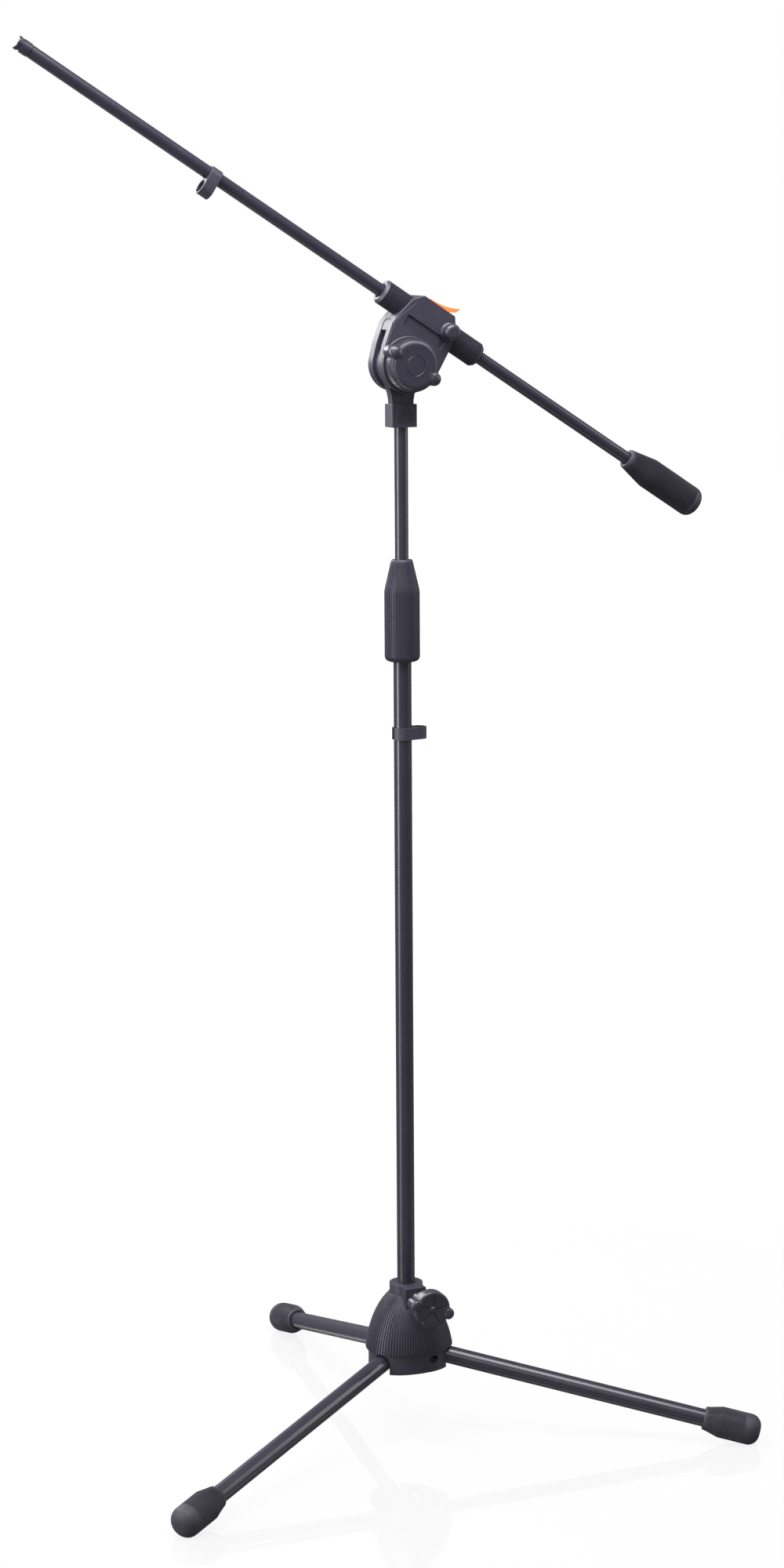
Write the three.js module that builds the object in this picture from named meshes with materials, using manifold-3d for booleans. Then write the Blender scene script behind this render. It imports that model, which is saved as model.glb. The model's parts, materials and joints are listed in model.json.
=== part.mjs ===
// Folding boom microphone stand: a tripod base, a telescopic mast and a tilting boom.
// Millimetres, +Z up. The knobs face -Y and the raised end of the boom points to -X.
// Inside this file the mast's axis is X = Y = 0 and the floor is Z = 0; the last lines move
// the whole stand so that its origin is the middle of its footprint, on the floor.
import * as THREE from "three";
import { mergeVertices } from "three/addons/utils/BufferGeometryUtils.js";
import Module from "manifold-3d";

const wasm = await Module();
wasm.setup();

// ---------------------------------------------------------------- driving dimensions
const FIT = 0.3; // gap between pieces that touch
const ROUND = 24; // sides of a turned piece
const WIDE_ROUND = 32; // sides of a wide disc
const SMALL_ROUND = 12; // sides of a pin or screw

// tubes: outer radius and wall
const MAST_R = 10;
const MAST_WALL = 1.2;
const ROD_PLAY = 1.3; // between the upper rod and the lower tube's bore
const ROD_R = MAST_R - MAST_WALL - ROD_PLAY;
const ROD_WALL = 1;
const BOOM_R = 7;
const BOOM_WALL = 1;
const LEG_R = 10;
const LEG_WALL = 1.2;

// hub
const BORE_R = MAST_R + FIT;
const SLEEVE_WALL = 3.4;
const SLEEVE_TUBE_R = BORE_R + SLEEVE_WALL;
const COLLAR_WALL = 5.3;
const COLLAR_R = SLEEVE_TUBE_R + COLLAR_WALL;
const COLLAR_H = 10.7; // above the top of the cover
const EYE_R = LEG_R - 1; // rounded top of a leg, around its hinge pin
const FOLD_ROOM = 11.8; // between that and the central sleeve
const PIVOT_R = SLEEVE_TUBE_R + EYE_R + FOLD_ROOM;
const HUB_R = PIVOT_R + 15; // mean radius of the cover's rim
const HUB_LOBE = 3.2; // how far the rim swells towards each leg
const HUB_WALL = 3;
const HUB_RIM_Z = 106;
const HUB_H = 62;
const HUB_TOP_Z = HUB_RIM_Z + HUB_H;
const COLLAR_TOP_Z = HUB_TOP_Z + COLLAR_H;
const HUB_SHOULDER = [HUB_R - 5.5, HUB_TOP_Z - 22]; // radius and height the bell's curve bends towards
const SKIRT_STEP = 3.8; // how far the skirt stands back from the cover's rim
const SKIRT_R = HUB_R - SKIRT_STEP;
const SKIRT_WALL = 3;
const SKIRT_BOTTOM_Z = 83;
const BOSS_W = 25;
const BOSS_REACH = 9; // how far the boss stands out from the collar
const BOSS_FRONT = COLLAR_R + BOSS_REACH;
const BOSS_FOOT_Z = HUB_TOP_Z - 30;
const SCREW_Z = HUB_TOP_Z; // height of the base clamp screw
const SCREW_R = 4;
const COVER_SCREW_R = 2;
const COVER_SCREW_PLACE = HUB_R - 18.5; // radius of the circle that the cover's screws stand on

// base knob
const BASE_KNOB_R = 21;
const BASE_KNOB_T = 15;
const BASE_KNOB_REACH = 49; // from the boss to the knob's face
const BASE_KNOB_FACE = BOSS_FRONT + BASE_KNOB_REACH;
const BASE_LOBE_R = 6.5;

// legs
const LEG_COUNT = 3;
const LEG_NAMES = ["c", "a", "b"]; // by angle: 90, 210 and 330 degrees
const LEG_SLOPE = THREE.MathUtils.degToRad(12.6);
const EYE_W = 2 * LEG_R;
const PIVOT_Z = 97.2;
const LEG_PIN_R = 3;
const LEG_TUBE_START = 6; // from the pivot, along the leg
const LEG_REACH = 377; // from the pivot to the end of the foot
const PLUG_DEPTH = 26;
const FOOT_LENGTH = 65;
const FOOT_WALL = 7.6;
const FOOT_R = LEG_R + FOOT_WALL;
const FOOT_MOUTH_R = LEG_R + 3;
const FOOT_TAPER = 19;
const FOOT_ROUND = 13;
const PAD_DEPTH = 1.2; // how deep the worn flat is cut into the rubber
const DECK_ROOM = 3.8; // above the eyes
const DECK_Z = PIVOT_Z + EYE_R + DECK_ROOM; // underside of the plate above the legs
const DECK_T = 3;

// mast and clutch
const MAST_BOTTOM_Z = 86;
const MAST_LENGTH = 866;
const MAST_TOP_Z = MAST_BOTTOM_Z + MAST_LENGTH;
const END_PLUG_LIP_R = BORE_R + 2.3;
const END_PLUG_LIP_T = 2.5;
const BODY_WALL = 4.2;
const BODY_R = BORE_R + BODY_WALL; // clutch body, inside the grip
const CLUTCH_R = BODY_R + 5.1;
const CLUTCH_TOP_R = ROD_R + 4.5;
const CLUTCH_OVERLAP = 61.5; // how far the grip reaches down over the lower tube
const CLUTCH_STRAIGHT = 78.5;
const CLUTCH_CONE = 34;
const CLUTCH_BOTTOM_Z = MAST_TOP_Z - CLUTCH_OVERLAP;
const CLUTCH_CONE_Z = CLUTCH_BOTTOM_Z + CLUTCH_STRAIGHT;
const CLUTCH_TOP_Z = CLUTCH_CONE_Z + CLUTCH_CONE;
const CLUTCH_LIP = 6;

// cable clips
const CLIP_T = 1.7;
const CLIP_H = 13.3;
const MAST_CLIP_Z = MAST_TOP_Z - 142;
const CLIP_REACH = 16; // how far the cable loop stands beyond the band
const CLIP_LOOP_R = 9;
const CLIP_SLIT = 5;

// upper rod
const ROD_LENGTH = 726;
const ROD_OUT = 214; // how far the rod stands out of the lower tube
const ROD_TOP_Z = MAST_TOP_Z + ROD_OUT;
const ROD_BOTTOM_Z = ROD_TOP_Z - ROD_LENGTH;
const STUD_R = 4.8;

// yoke
const TILT_Z = ROD_TOP_Z + 50;
const YOKE_R = 27;
const YOKE_T = 12;
const NECK_W = 25;
const BLOCK_W = 2 * (ROD_R + 7);
const BLOCK_D = 2 * (ROD_R + 3);
const SOCKET_DEPTH = 18;
const BLOCK_H = 25;
const BLOCK_BOTTOM_Z = ROD_TOP_Z - SOCKET_DEPTH;
const BLOCK_TOP_Z = BLOCK_BOTTOM_Z + BLOCK_H;
const WASHER_T = 1;

// head, in its own axes: u along the boom towards the counterweight, w square to it, upwards
const BOOM_PITCH = THREE.MathUtils.degToRad(32.65);
const SLEEVE_R = BOOM_R + 7;
const CHANNEL_R = SLEEVE_R + FIT;
const BRIDGE_W = YOKE_R + 7; // above this line the shells close over the yoke's disc
const BRIDGE_T = 6.4;
const BOOM_OFFSET = BRIDGE_W + BRIDGE_T + CHANNEL_R; // boom's axis above the tilt axis
const SHELL_TOP = BOOM_OFFSET + SLEEVE_R + 5;
const SHELL_BACK = 20; // half the head's thickness
const SHELL_ROUND = YOKE_R + 3;
const SHELL_SPLIT = 0.2; // half the seam between the shells
const SHELL_LEFT = [
  [-SHELL_ROUND - 3.5, 5],
  [-SHELL_ROUND - 8.8, SHELL_TOP - 44.7],
  [-SHELL_ROUND - 7, SHELL_TOP - 32.7],
  [-31.6, SHELL_TOP - 10.7],
  [-21.7, SHELL_TOP],
];
const SHELL_RIGHT = [
  [20.8, SHELL_TOP],
  [26.6, SHELL_TOP - 8.3],
  [SHELL_ROUND + 4.4, SHELL_TOP - 28.7],
  [SHELL_ROUND + 6.3, 10.5],
];
const SLEEVE_FROM = -62.5;
const SLEEVE_TO = 73;
const TILT_BOLT_R = 4;
const TILT_HEAD_R = 9;
const SPACER_R = YOKE_R + 4;
const SPACER_T = 3;
const KNOB_R = YOKE_R + 2;
const KNOB_T = 18;
const KNOB_FRONT = SHELL_BACK + KNOB_T + 4; // distance of the tilt knob's face from the mast's axis
const KNOB_LOBE_R = 7.2;
const KNOB_CAP_R = 10.7;
const INSERT_R = 7;
const BUTTON_U = 22;
const BUTTON_R = 9.2;
const BUTTON_FRONT = SHELL_BACK + 16;
const BUTTON_SCREW_R = 3;
const LEVER_T = 9;
const LEVER_PIN_U = -6;
const LEVER_PIN_W = BOOM_OFFSET + SLEEVE_R + 2.9;
const LEVER_PIN_R = 1.2;

// boom, measured from the tilt axis along the boom
const BOOM_TIP = -540.9;
const BOOM_TAIL = 385;
const TIP_LENGTH = 17;
const TIP_R = BOOM_R + 0.6;
const WEIGHT_LENGTH = 104.4;
const WEIGHT_TO = BOOM_TAIL + 11.4; // the tube ends inside the weight
const WEIGHT_FROM = WEIGHT_TO - WEIGHT_LENGTH;
const WEIGHT_R = 17.3;
const WEIGHT_MOUTH_R = BOOM_R + 4.2;
const WEIGHT_TAPER = 32.6;
const BOOM_CLIP_U = -288.8;

// ---------------------------------------------------------------- finishes
const finish = (color, roughness, metalness) =>
  new THREE.MeshStandardMaterial({ color, roughness, metalness });
const PAINT = finish(0x35333b, 0.4, 0.3);
const PLASTIC = finish(0x3a3840, 0.6, 0);
const RUBBER = finish(0x38363c, 0.8, 0);
const ORANGE = finish(0xf37a3f, 0.5, 0);
const STEEL = finish(0xb4b6b8, 0.35, 1);
const BRASS = finish(0xc8a45a, 0.35, 1);
const IRON = finish(0x55565a, 0.6, 0.8);

// ---------------------------------------------------------------- helpers
// A closed three.js geometry as a manifold-3d solid, its faces turned outwards.
function solid(geometry) {
  const bare = geometry.clone();
  bare.deleteAttribute("normal");
  bare.deleteAttribute("uv");
  const merged = mergeVertices(bare, 1e-4);
  const triVerts = new Uint32Array(merged.index.array);
  const vertProperties = merged.attributes.position.array;
  const make = () => new wasm.Manifold(new wasm.Mesh({ numProp: 3, vertProperties, triVerts }));
  const first = make();
  if (first.volume() > 0) return first;
  for (let i = 0; i < triVerts.length; i += 3) {
    [triVerts[i + 1], triVerts[i + 2]] = [triVerts[i + 2], triVerts[i + 1]];
  }
  return make();
}

// A manifold-3d solid as a named mesh.
function piece(name, body, material) {
  const { vertProperties, triVerts } = body.getMesh();
  const geometry = new THREE.BufferGeometry();
  geometry.setAttribute("position", new THREE.BufferAttribute(vertProperties, 3));
  geometry.setIndex(new THREE.BufferAttribute(triVerts, 1));
  const flat = geometry.toNonIndexed();
  flat.computeVertexNormals();
  const mesh = new THREE.Mesh(flat, material);
  mesh.name = name;
  return mesh;
}

const points = (list) => list.map(([x, y]) => new THREE.Vector2(x, y));

// A profile of [radius, height] points turned about Z. It starts and ends on the axis,
// or is a ring that closes on itself.
function turned(profile, sides = ROUND) {
  const onAxis = profile[0][0] === 0 && profile.at(-1)[0] === 0;
  const path = points(onAxis ? profile : [...profile, profile[0]]);
  const geometry = new THREE.LatheGeometry(path, sides);
  geometry.rotateX(Math.PI / 2);
  return geometry;
}

// A plain rod of radius r from z0 to z1 along Z, and a tube with a bore.
const rod = (r, z0, z1, sides = ROUND) =>
  solid(turned([[0, z0], [r, z0], [r, z1], [0, z1]], sides));
const tube = (r, bore, z0, z1, sides = ROUND) =>
  solid(turned([[bore, z0], [r, z0], [r, z1], [bore, z1]], sides));

// A block between two corners.
function block([x0, y0, z0], [x1, y1, z1]) {
  const box = new THREE.BoxGeometry(x1 - x0, y1 - y0, z1 - z0);
  box.translate((x0 + x1) / 2, (y0 + y1) / 2, (z0 + z1) / 2);
  return solid(box);
}

// An outline in X and Z given a thickness from y0 to y1.
function slab(shape, y0, y1, curveSegments = 8) {
  const geometry = new THREE.ExtrudeGeometry(shape, {
    depth: y1 - y0,
    bevelEnabled: false,
    curveSegments,
  });
  geometry.rotateX(Math.PI / 2);
  geometry.translate(0, y1, 0);
  return solid(geometry);
}

// Turns a solid that was made along Z to lie along X, or along -Y.
const alongX = (body) => body.rotate([0, 90, 0]);
const alongFront = (body) => body.rotate([90, 0, 0]);

const stand = new THREE.Group();
const join = (bodies) => bodies.reduce((sum, body) => sum.add(body));

// Points of a circle's arc in a profile, by angle in degrees.
function arc(x, y, r, from, to, steps = 4) {
  return Array.from({ length: steps + 1 }, (_, i) => {
    const a = THREE.MathUtils.degToRad(from + ((to - from) * i) / steps);
    return [x + r * Math.cos(a), y + r * Math.sin(a)];
  });
}

const add = (parent, name, body, material) => parent.add(piece(name, body, material));
const radians = THREE.MathUtils.degToRad;

// ---------------------------------------------------------------- hub
const LEG_TURN = 360 / LEG_COUNT;
const LEG_START = 90; // angle of the first leg
const HUB_SIDES = 48;
const SPIGOT_BOTTOM_Z = HUB_TOP_Z - 18;
const COVER_MOUTH_R = SLEEVE_TUBE_R + FIT;
const BELL_TOP_R = COLLAR_R + 0.6;

const COVER_SCREW_DEPTH = 12; // how far a screw reaches into its post
const COVER_POST_R = COVER_SCREW_R + 2.4;
const COVER_SCREW_HEAD_R = 3.8;
const COVER_SCREW_HEAD_T = 2.5;
const screwPlaces = Array.from({ length: LEG_COUNT }, (_, i) => {
  const angle = radians(LEG_START + (i + 0.5) * LEG_TURN);
  return [COVER_SCREW_PLACE * Math.cos(angle), COVER_SCREW_PLACE * Math.sin(angle)];
});

// Swells a turned hub piece towards the three legs. The collar's radius stays round.
function lobed(geometry) {
  const place = geometry.attributes.position;
  for (let i = 0; i < place.count; i += 1) {
    const x = place.getX(i);
    const y = place.getY(i);
    const r = Math.hypot(x, y);
    const share = Math.max(0, (r - COLLAR_R) / (HUB_R - COLLAR_R));
    const angle = Math.atan2(y, x) - radians(LEG_START);
    const swell = HUB_LOBE * share * Math.cos(LEG_COUNT * angle);
    if (r > 0) place.setXY(i, (x * (r + swell)) / r, (y * (r + swell)) / r);
  }
  return geometry;
}

// The bell's curve from the rim up to the collar, moved in by a wall or out by a gap.
function bell(offset) {
  const curve = new THREE.QuadraticBezierCurve(
    new THREE.Vector2(HUB_R + offset, HUB_RIM_Z),
    new THREE.Vector2(HUB_SHOULDER[0] + offset, HUB_SHOULDER[1] + offset),
    new THREE.Vector2(BELL_TOP_R + offset, HUB_TOP_Z + offset),
  );
  return curve.getPoints(7).map((p) => [p.x, p.y]);
}

// Radius of that curve at a height.
function bellRadius(z, offset) {
  const line = bell(offset);
  const i = Math.max(1, line.findIndex((point) => point[1] >= z));
  const [r0, z0] = line[i - 1];
  const [r1, z1] = line[i];
  return r0 + ((r1 - r0) * (z - z0)) / (z1 - z0);
}

// Turns a solid that was made along Z to lie on the clamp screw's axis.
const onClampScrew = (body) => alongFront(body).translate([0, 0, SCREW_Z]);

function hubCover() {
  const inside = bell(-HUB_WALL).reverse();
  const shell = solid(
    lobed(
      turned(
        [
          ...bell(0),
          [COVER_MOUTH_R, HUB_TOP_Z],
          [COVER_MOUTH_R, HUB_TOP_Z - HUB_WALL],
          ...inside,
        ],
        HUB_SIDES,
      ),
    ),
  );
  const postBottom = DECK_Z + DECK_T + FIT;
  const bore = COVER_SCREW_R + FIT;
  const midWall = -HUB_WALL / 2;
  const domeProfile = [[0, HUB_RIM_Z], ...bell(midWall), [0, HUB_TOP_Z + midWall]];
  const dome = solid(lobed(turned(domeProfile, HUB_SIDES)));
  const posts = screwPlaces.map(([x, y]) => {
    const post = rod(COVER_POST_R, postBottom, HUB_TOP_Z, SMALL_ROUND).translate([x, y, 0]);
    return post.intersect(dome);
  });
  const bores = screwPlaces.map(([x, y]) =>
    rod(bore, 0, postBottom + COVER_SCREW_DEPTH + FIT, SMALL_ROUND).translate([x, y, 0]),
  );
  const screwWay = onClampScrew(rod(SCREW_R + FIT, 0, HUB_R, SMALL_ROUND));
  return join([shell, ...posts]).subtract(join([...bores, screwWay]));
}

const SLEEVE_BOTTOM_Z = MAST_BOTTOM_Z - FIT;
const EAR_GAP = EYE_W / 2 + FIT;
const EAR_T = 3;
const LEG_PIN_HALF = EAR_GAP + EAR_T;
const EAR_INNER = PIVOT_R - LEG_PIN_R - 5;
const EAR_BOTTOM_Z = PIVOT_Z - EYE_R;
const SLOT_HALF = LEG_R + 0.8; // half the width of a leg's slot
const SLOT_EDGE_Z = PIVOT_Z - 3; // below this the slot's sides go straight down
const ACCESS_R = 4.5; // hole that the hinge pin is pushed in through

function hubFrame() {
  const inner = SKIRT_R - SKIRT_WALL;
  const deckTop = DECK_Z + DECK_T;
  const deckR = Math.min(SKIRT_R, bellRadius(deckTop, -HUB_WALL) - 2 * FIT);
  const ring = solid(
    lobed(
      turned(
        [
          [BORE_R, SLEEVE_BOTTOM_Z],
          [SLEEVE_TUBE_R, SLEEVE_BOTTOM_Z],
          [SLEEVE_TUBE_R, DECK_Z],
          [inner, DECK_Z],
          [inner, SKIRT_BOTTOM_Z],
          [SKIRT_R, SKIRT_BOTTOM_Z],
          [SKIRT_R, HUB_RIM_Z],
          [deckR, deckTop],
          [SLEEVE_TUBE_R, deckTop],
          [SLEEVE_TUBE_R, SPIGOT_BOTTOM_Z - FIT],
          [BORE_R, SPIGOT_BOTTOM_Z - FIT],
        ],
        HUB_SIDES,
      ),
    ),
  );
  const ears = [];
  const cuts = [];
  const slopeDegrees = THREE.MathUtils.radToDeg(LEG_SLOPE);
  for (let i = 0; i < LEG_COUNT; i += 1) {
    const turn = [0, 0, LEG_START + i * LEG_TURN];
    for (const side of [-1, 1]) {
      const from = side < 0 ? -LEG_PIN_HALF : EAR_GAP;
      const ear = block([EAR_INNER, from, EAR_BOTTOM_Z], [inner + 1, from + EAR_T, DECK_Z + 1]);
      ears.push(ear.rotate(turn));
    }
    const pinWay = rod(LEG_PIN_R + FIT, -LEG_PIN_HALF - 1, LEG_PIN_HALF + 1, SMALL_ROUND);
    const access = rod(ACCESS_R, LEG_PIN_HALF + FIT, SKIRT_R, SMALL_ROUND);
    cuts.push(alongFront(join([pinWay, access])).translate([PIVOT_R, 0, PIVOT_Z]).rotate(turn));
    const way = alongX(rod(SLOT_HALF, -LEG_R, HUB_R))
      .rotate([0, slopeDegrees, 0])
      .translate([PIVOT_R, 0, PIVOT_Z]);
    const outside = HUB_R + HUB_LOBE * 2;
    const below = block([EAR_INNER, -SLOT_HALF, 0], [outside, SLOT_HALF, SLOT_EDGE_Z]);
    cuts.push(join([way, below]).rotate(turn));
  }
  for (const [x, y] of screwPlaces) {
    const bore = rod(COVER_SCREW_R + FIT, DECK_Z - 1, deckTop + 1, SMALL_ROUND);
    cuts.push(bore.translate([x, y, 0]));
  }
  return join([ring, ...ears]).subtract(join(cuts));
}

function coverScrew([x, y]) {
  const headTop = DECK_Z - FIT;
  const head = rod(COVER_SCREW_HEAD_R, headTop - COVER_SCREW_HEAD_T, headTop, SMALL_ROUND);
  const tip = DECK_Z + DECK_T + FIT + COVER_SCREW_DEPTH;
  const shank = rod(COVER_SCREW_R, headTop - 1, tip, SMALL_ROUND);
  return join([head, shank]).translate([x, y, 0]);
}

const BOSS_GAP = 1.5 * FIT; // between the bell and the boss that stands on it

// The collar's spigot goes down inside the cover; its boss stands in front, on the bell.
function baseCollar() {
  const bottom = HUB_TOP_Z + FIT;
  const ring = rod(COLLAR_R, bottom, COLLAR_TOP_Z);
  const spigot = rod(SLEEVE_TUBE_R, SPIGOT_BOTTOM_Z, COLLAR_TOP_Z - 1);
  const half = BOSS_W / 2;
  const boss = block([-half, -BOSS_FRONT, BOSS_FOOT_Z], [half, 0, COLLAR_TOP_Z]);
  const low = HUB_RIM_Z - 1;
  const hollow = [[0, low], [HUB_R, low], ...bell(BOSS_GAP), [0, bottom]];
  const underBell = solid(lobed(turned(hollow, HUB_SIDES)));
  const screwWay = onClampScrew(rod(SCREW_R + FIT, 0, HUB_R, SMALL_ROUND));
  const mastWay = rod(BORE_R, 0, COLLAR_TOP_Z + 1);
  return join([boss.subtract(underBell), ring, spigot]).subtract(join([screwWay, mastWay]));
}

const PAD_T = 2.5;
const PAD_FACE = MAST_R + FIT;
const STUD_START = PAD_FACE + PAD_T + FIT;
const STUD_SINK = 10; // how deep the stud is moulded into the knob

// A round knob with two opposite finger lobes on its rim, its face at a distance in front.
function twoLobedKnob(radius, thickness, lobeR, face) {
  const disc = rod(radius, face - thickness, face, WIDE_ROUND);
  const lobes = [-1, 1].map((side) =>
    rod(lobeR, face - thickness + 1, face - 0.5, SMALL_ROUND).translate([side * radius, 0, 0]),
  );
  return alongFront(join([disc, ...lobes]));
}

const BASE_NECK_R = 9;
const BASE_NECK_BACK = BOSS_FRONT + 8;
const BASE_LOBE_TILT = 20; // how far the lobes are turned from level
const baseKnobBack = BASE_KNOB_FACE - BASE_KNOB_T;
const studEnd = baseKnobBack + STUD_SINK;

function baseKnob() {
  const wings = twoLobedKnob(BASE_KNOB_R, BASE_KNOB_T, BASE_LOBE_R, BASE_KNOB_FACE);
  const neck = alongFront(rod(BASE_NECK_R, BASE_NECK_BACK, baseKnobBack + 1, SMALL_ROUND));
  const bore = alongFront(rod(SCREW_R + FIT, BASE_NECK_BACK - 1, studEnd + FIT, SMALL_ROUND));
  const knob = join([wings.rotate([0, BASE_LOBE_TILT, 0]), neck]).subtract(bore);
  return knob.translate([0, 0, SCREW_Z]);
}

const hub = new THREE.Group();
add(hub, "hub_cover", hubCover(), PLASTIC);
add(hub, "hub_frame", hubFrame(), PLASTIC);
add(hub, "base_collar", baseCollar(), PLASTIC);
add(hub, "clamp_pad", onClampScrew(rod(SCREW_R - FIT, PAD_FACE, PAD_FACE + PAD_T, SMALL_ROUND)), BRASS);
add(hub, "base_knob", baseKnob(), PLASTIC);
add(hub, "base_knob_stud", onClampScrew(rod(SCREW_R, STUD_START, studEnd, SMALL_ROUND)), STEEL);
screwPlaces.forEach((place, i) => add(hub, `hub_screw_${i + 1}`, coverScrew(place), STEEL));
stand.add(hub);

// ---------------------------------------------------------------- legs
const FOOT_END = 11; // rubber between the tube's end and the foot's
const footBore = LEG_REACH - FOOT_END;
const footMouth = LEG_REACH - FOOT_LENGTH;
// The floor touches the foot's round end, less the worn flat.
const footCentre = LEG_REACH - FOOT_ROUND;
const floorBelowPivot =
  footCentre * Math.sin(LEG_SLOPE) +
  (FOOT_R - FOOT_ROUND) * Math.cos(LEG_SLOPE) +
  FOOT_ROUND -
  PAD_DEPTH;

function legFoot() {
  const bore = LEG_R + FIT;
  const rubber = turned([
    [0, footBore],
    [bore, footBore],
    [bore, footMouth],
    [FOOT_MOUTH_R, footMouth],
    [FOOT_R, footMouth + FOOT_TAPER],
    ...arc(FOOT_R - FOOT_ROUND, footCentre, FOOT_ROUND, 0, 90, 5),
    [0, LEG_REACH],
  ]);
  const spare = 3 * FOOT_R;
  const under = -floorBelowPivot;
  const floor = block([0, -spare, under - spare], [LEG_REACH + spare, spare, under]);
  const slopeDegrees = THREE.MathUtils.radToDeg(LEG_SLOPE);
  return alongX(solid(rubber)).subtract(floor.rotate([0, -slopeDegrees, 0]));
}

function legPlug() {
  const eye = alongFront(rod(EYE_R, -EYE_W / 2, EYE_W / 2));
  const wallIn = LEG_R - LEG_WALL - FIT;
  const spigot = alongX(rod(wallIn, 0, PLUG_DEPTH));
  const bore = alongFront(rod(LEG_PIN_R + FIT, -EYE_W, EYE_W, SMALL_ROUND));
  const tubeRoom = alongX(tube(LEG_R + FIT, wallIn, LEG_TUBE_START - FIT, PLUG_DEPTH));
  return eye.subtract(tubeRoom).add(spigot).subtract(bore);
}

LEG_NAMES.forEach((letter, i) => {
  const around = new THREE.Group();
  around.rotation.z = radians(LEG_START + i * LEG_TURN);
  const leg = new THREE.Group();
  leg.position.set(PIVOT_R, 0, PIVOT_Z);
  leg.rotation.y = LEG_SLOPE;
  const legTube = alongX(tube(LEG_R, LEG_R - LEG_WALL, LEG_TUBE_START, footBore - FIT));
  add(leg, `leg_tube_${letter}`, legTube, PAINT);
  add(leg, `leg_plug_${letter}`, legPlug(), PLASTIC);
  add(leg, `leg_foot_${letter}`, legFoot(), RUBBER);
  const pin = alongFront(rod(LEG_PIN_R, -LEG_PIN_HALF, LEG_PIN_HALF, SMALL_ROUND));
  add(around, `leg_pin_${letter}`, pin.translate([PIVOT_R, 0, PIVOT_Z]), STEEL);
  around.add(leg);
  stand.add(around);
});

// ---------------------------------------------------------------- mast and clutch
const mast = new THREE.Group();
const END_PLUG_GRIP = 14; // how far the end plug reaches into the tube
const BODY_GRIP = 46; // how far the clutch body reaches down over the tube
const BODY_BOTTOM_Z = MAST_TOP_Z - BODY_GRIP;
const BODY_TOP_Z = CLUTCH_CONE_Z - 7;
const SEAT_R = ROD_R + 2.1; // bore of the body's mouth, around the collet's tail
const COLLET_TAIL_R = ROD_R + 1.7;
const COLLET_HEAD_R = ROD_R + 3.3;
const COLLET_BOTTOM_Z = MAST_TOP_Z + 2 * FIT;
const COLLET_TOP_Z = CLUTCH_CONE_Z + 6;

function mastEndPlug() {
  const lipTop = MAST_BOTTOM_Z - FIT;
  const lip = rod(END_PLUG_LIP_R, lipTop - END_PLUG_LIP_T, lipTop);
  const grip = rod(MAST_R - MAST_WALL - FIT, lipTop - 1, MAST_BOTTOM_Z + END_PLUG_GRIP);
  return join([lip, grip]);
}

function clutchBody() {
  return solid(
    turned([
      [BORE_R, BODY_BOTTOM_Z],
      [BODY_R, BODY_BOTTOM_Z],
      [BODY_R, BODY_TOP_Z],
      [SEAT_R, BODY_TOP_Z],
      [SEAT_R, MAST_TOP_Z + FIT],
      [BORE_R, MAST_TOP_Z + FIT],
    ]),
  );
}

function clutchCollet() {
  return solid(
    turned([
      [ROD_R + FIT, COLLET_BOTTOM_Z],
      [COLLET_TAIL_R, COLLET_BOTTOM_Z],
      [COLLET_TAIL_R, BODY_TOP_Z + FIT],
      [COLLET_HEAD_R, BODY_TOP_Z + 2],
      [COLLET_TAIL_R, COLLET_TOP_Z],
      [ROD_R + FIT, COLLET_TOP_Z],
    ]),
  );
}

// A turned twist grip: straight below, conical above, hollow around the clutch body.
function clutchGrip() {
  const mouth = BORE_R + FIT;
  const hollow = BODY_R + FIT;
  const tight = COLLET_HEAD_R + FIT;
  const topBore = ROD_R + 2 * FIT;
  return solid(
    turned(
      [
        [mouth, CLUTCH_BOTTOM_Z],
        ...arc(CLUTCH_R - CLUTCH_LIP, CLUTCH_BOTTOM_Z + CLUTCH_LIP, CLUTCH_LIP, -90, 0, 3),
        [CLUTCH_R, CLUTCH_CONE_Z],
        [CLUTCH_TOP_R, CLUTCH_TOP_Z],
        [topBore, CLUTCH_TOP_Z],
        [topBore, COLLET_TOP_Z + 4],
        [tight, COLLET_TOP_Z + FIT],
        [tight, BODY_TOP_Z + FIT],
        [hollow, BODY_TOP_Z + FIT],
        [hollow, BODY_BOTTOM_Z - FIT],
        [mouth, BODY_BOTTOM_Z - FIT],
      ],
      WIDE_ROUND,
    ),
  );
}

// A snap-on cable clip around a tube of radius r on Z, its cable loop towards +X.
function cableClip(r) {
  const bore = r + FIT;
  const outer = bore + CLIP_T;
  const loopX = outer + CLIP_REACH - CLIP_LOOP_R;
  const low = -CLIP_H / 2;
  const high = CLIP_H / 2;
  const corners = [[0, -outer], [loopX, -CLIP_LOOP_R], [loopX, CLIP_LOOP_R], [0, outer]];
  const sides = new THREE.Shape(points(corners));
  const web = solid(new THREE.ExtrudeGeometry(sides, { depth: CLIP_H, bevelEnabled: false }));
  const loop = (radius, reach) => rod(radius, low - reach, high + reach).translate([loopX, 0, 0]);
  const body = join([rod(outer, low, high), web.translate([0, 0, low]), loop(CLIP_LOOP_R, 0)]);
  const slit = block([-outer - 1, -CLIP_SLIT / 2, low - 1], [0, CLIP_SLIT / 2, high + 1]);
  return body.subtract(join([rod(bore, low - 1, high + 1), loop(CLIP_LOOP_R - CLIP_T, 1), slit]));
}

add(mast, "lower_tube", tube(MAST_R, MAST_R - MAST_WALL, MAST_BOTTOM_Z, MAST_TOP_Z), PAINT);
add(mast, "mast_end_plug", mastEndPlug(), PLASTIC);
add(mast, "clutch_body", clutchBody(), PLASTIC);
add(mast, "clutch_collet", clutchCollet(), PLASTIC);
add(mast, "clutch_grip", clutchGrip(), PLASTIC);
add(mast, "mast_clip", cableClip(MAST_R).translate([0, 0, MAST_CLIP_Z]), PLASTIC);
stand.add(mast);

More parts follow.
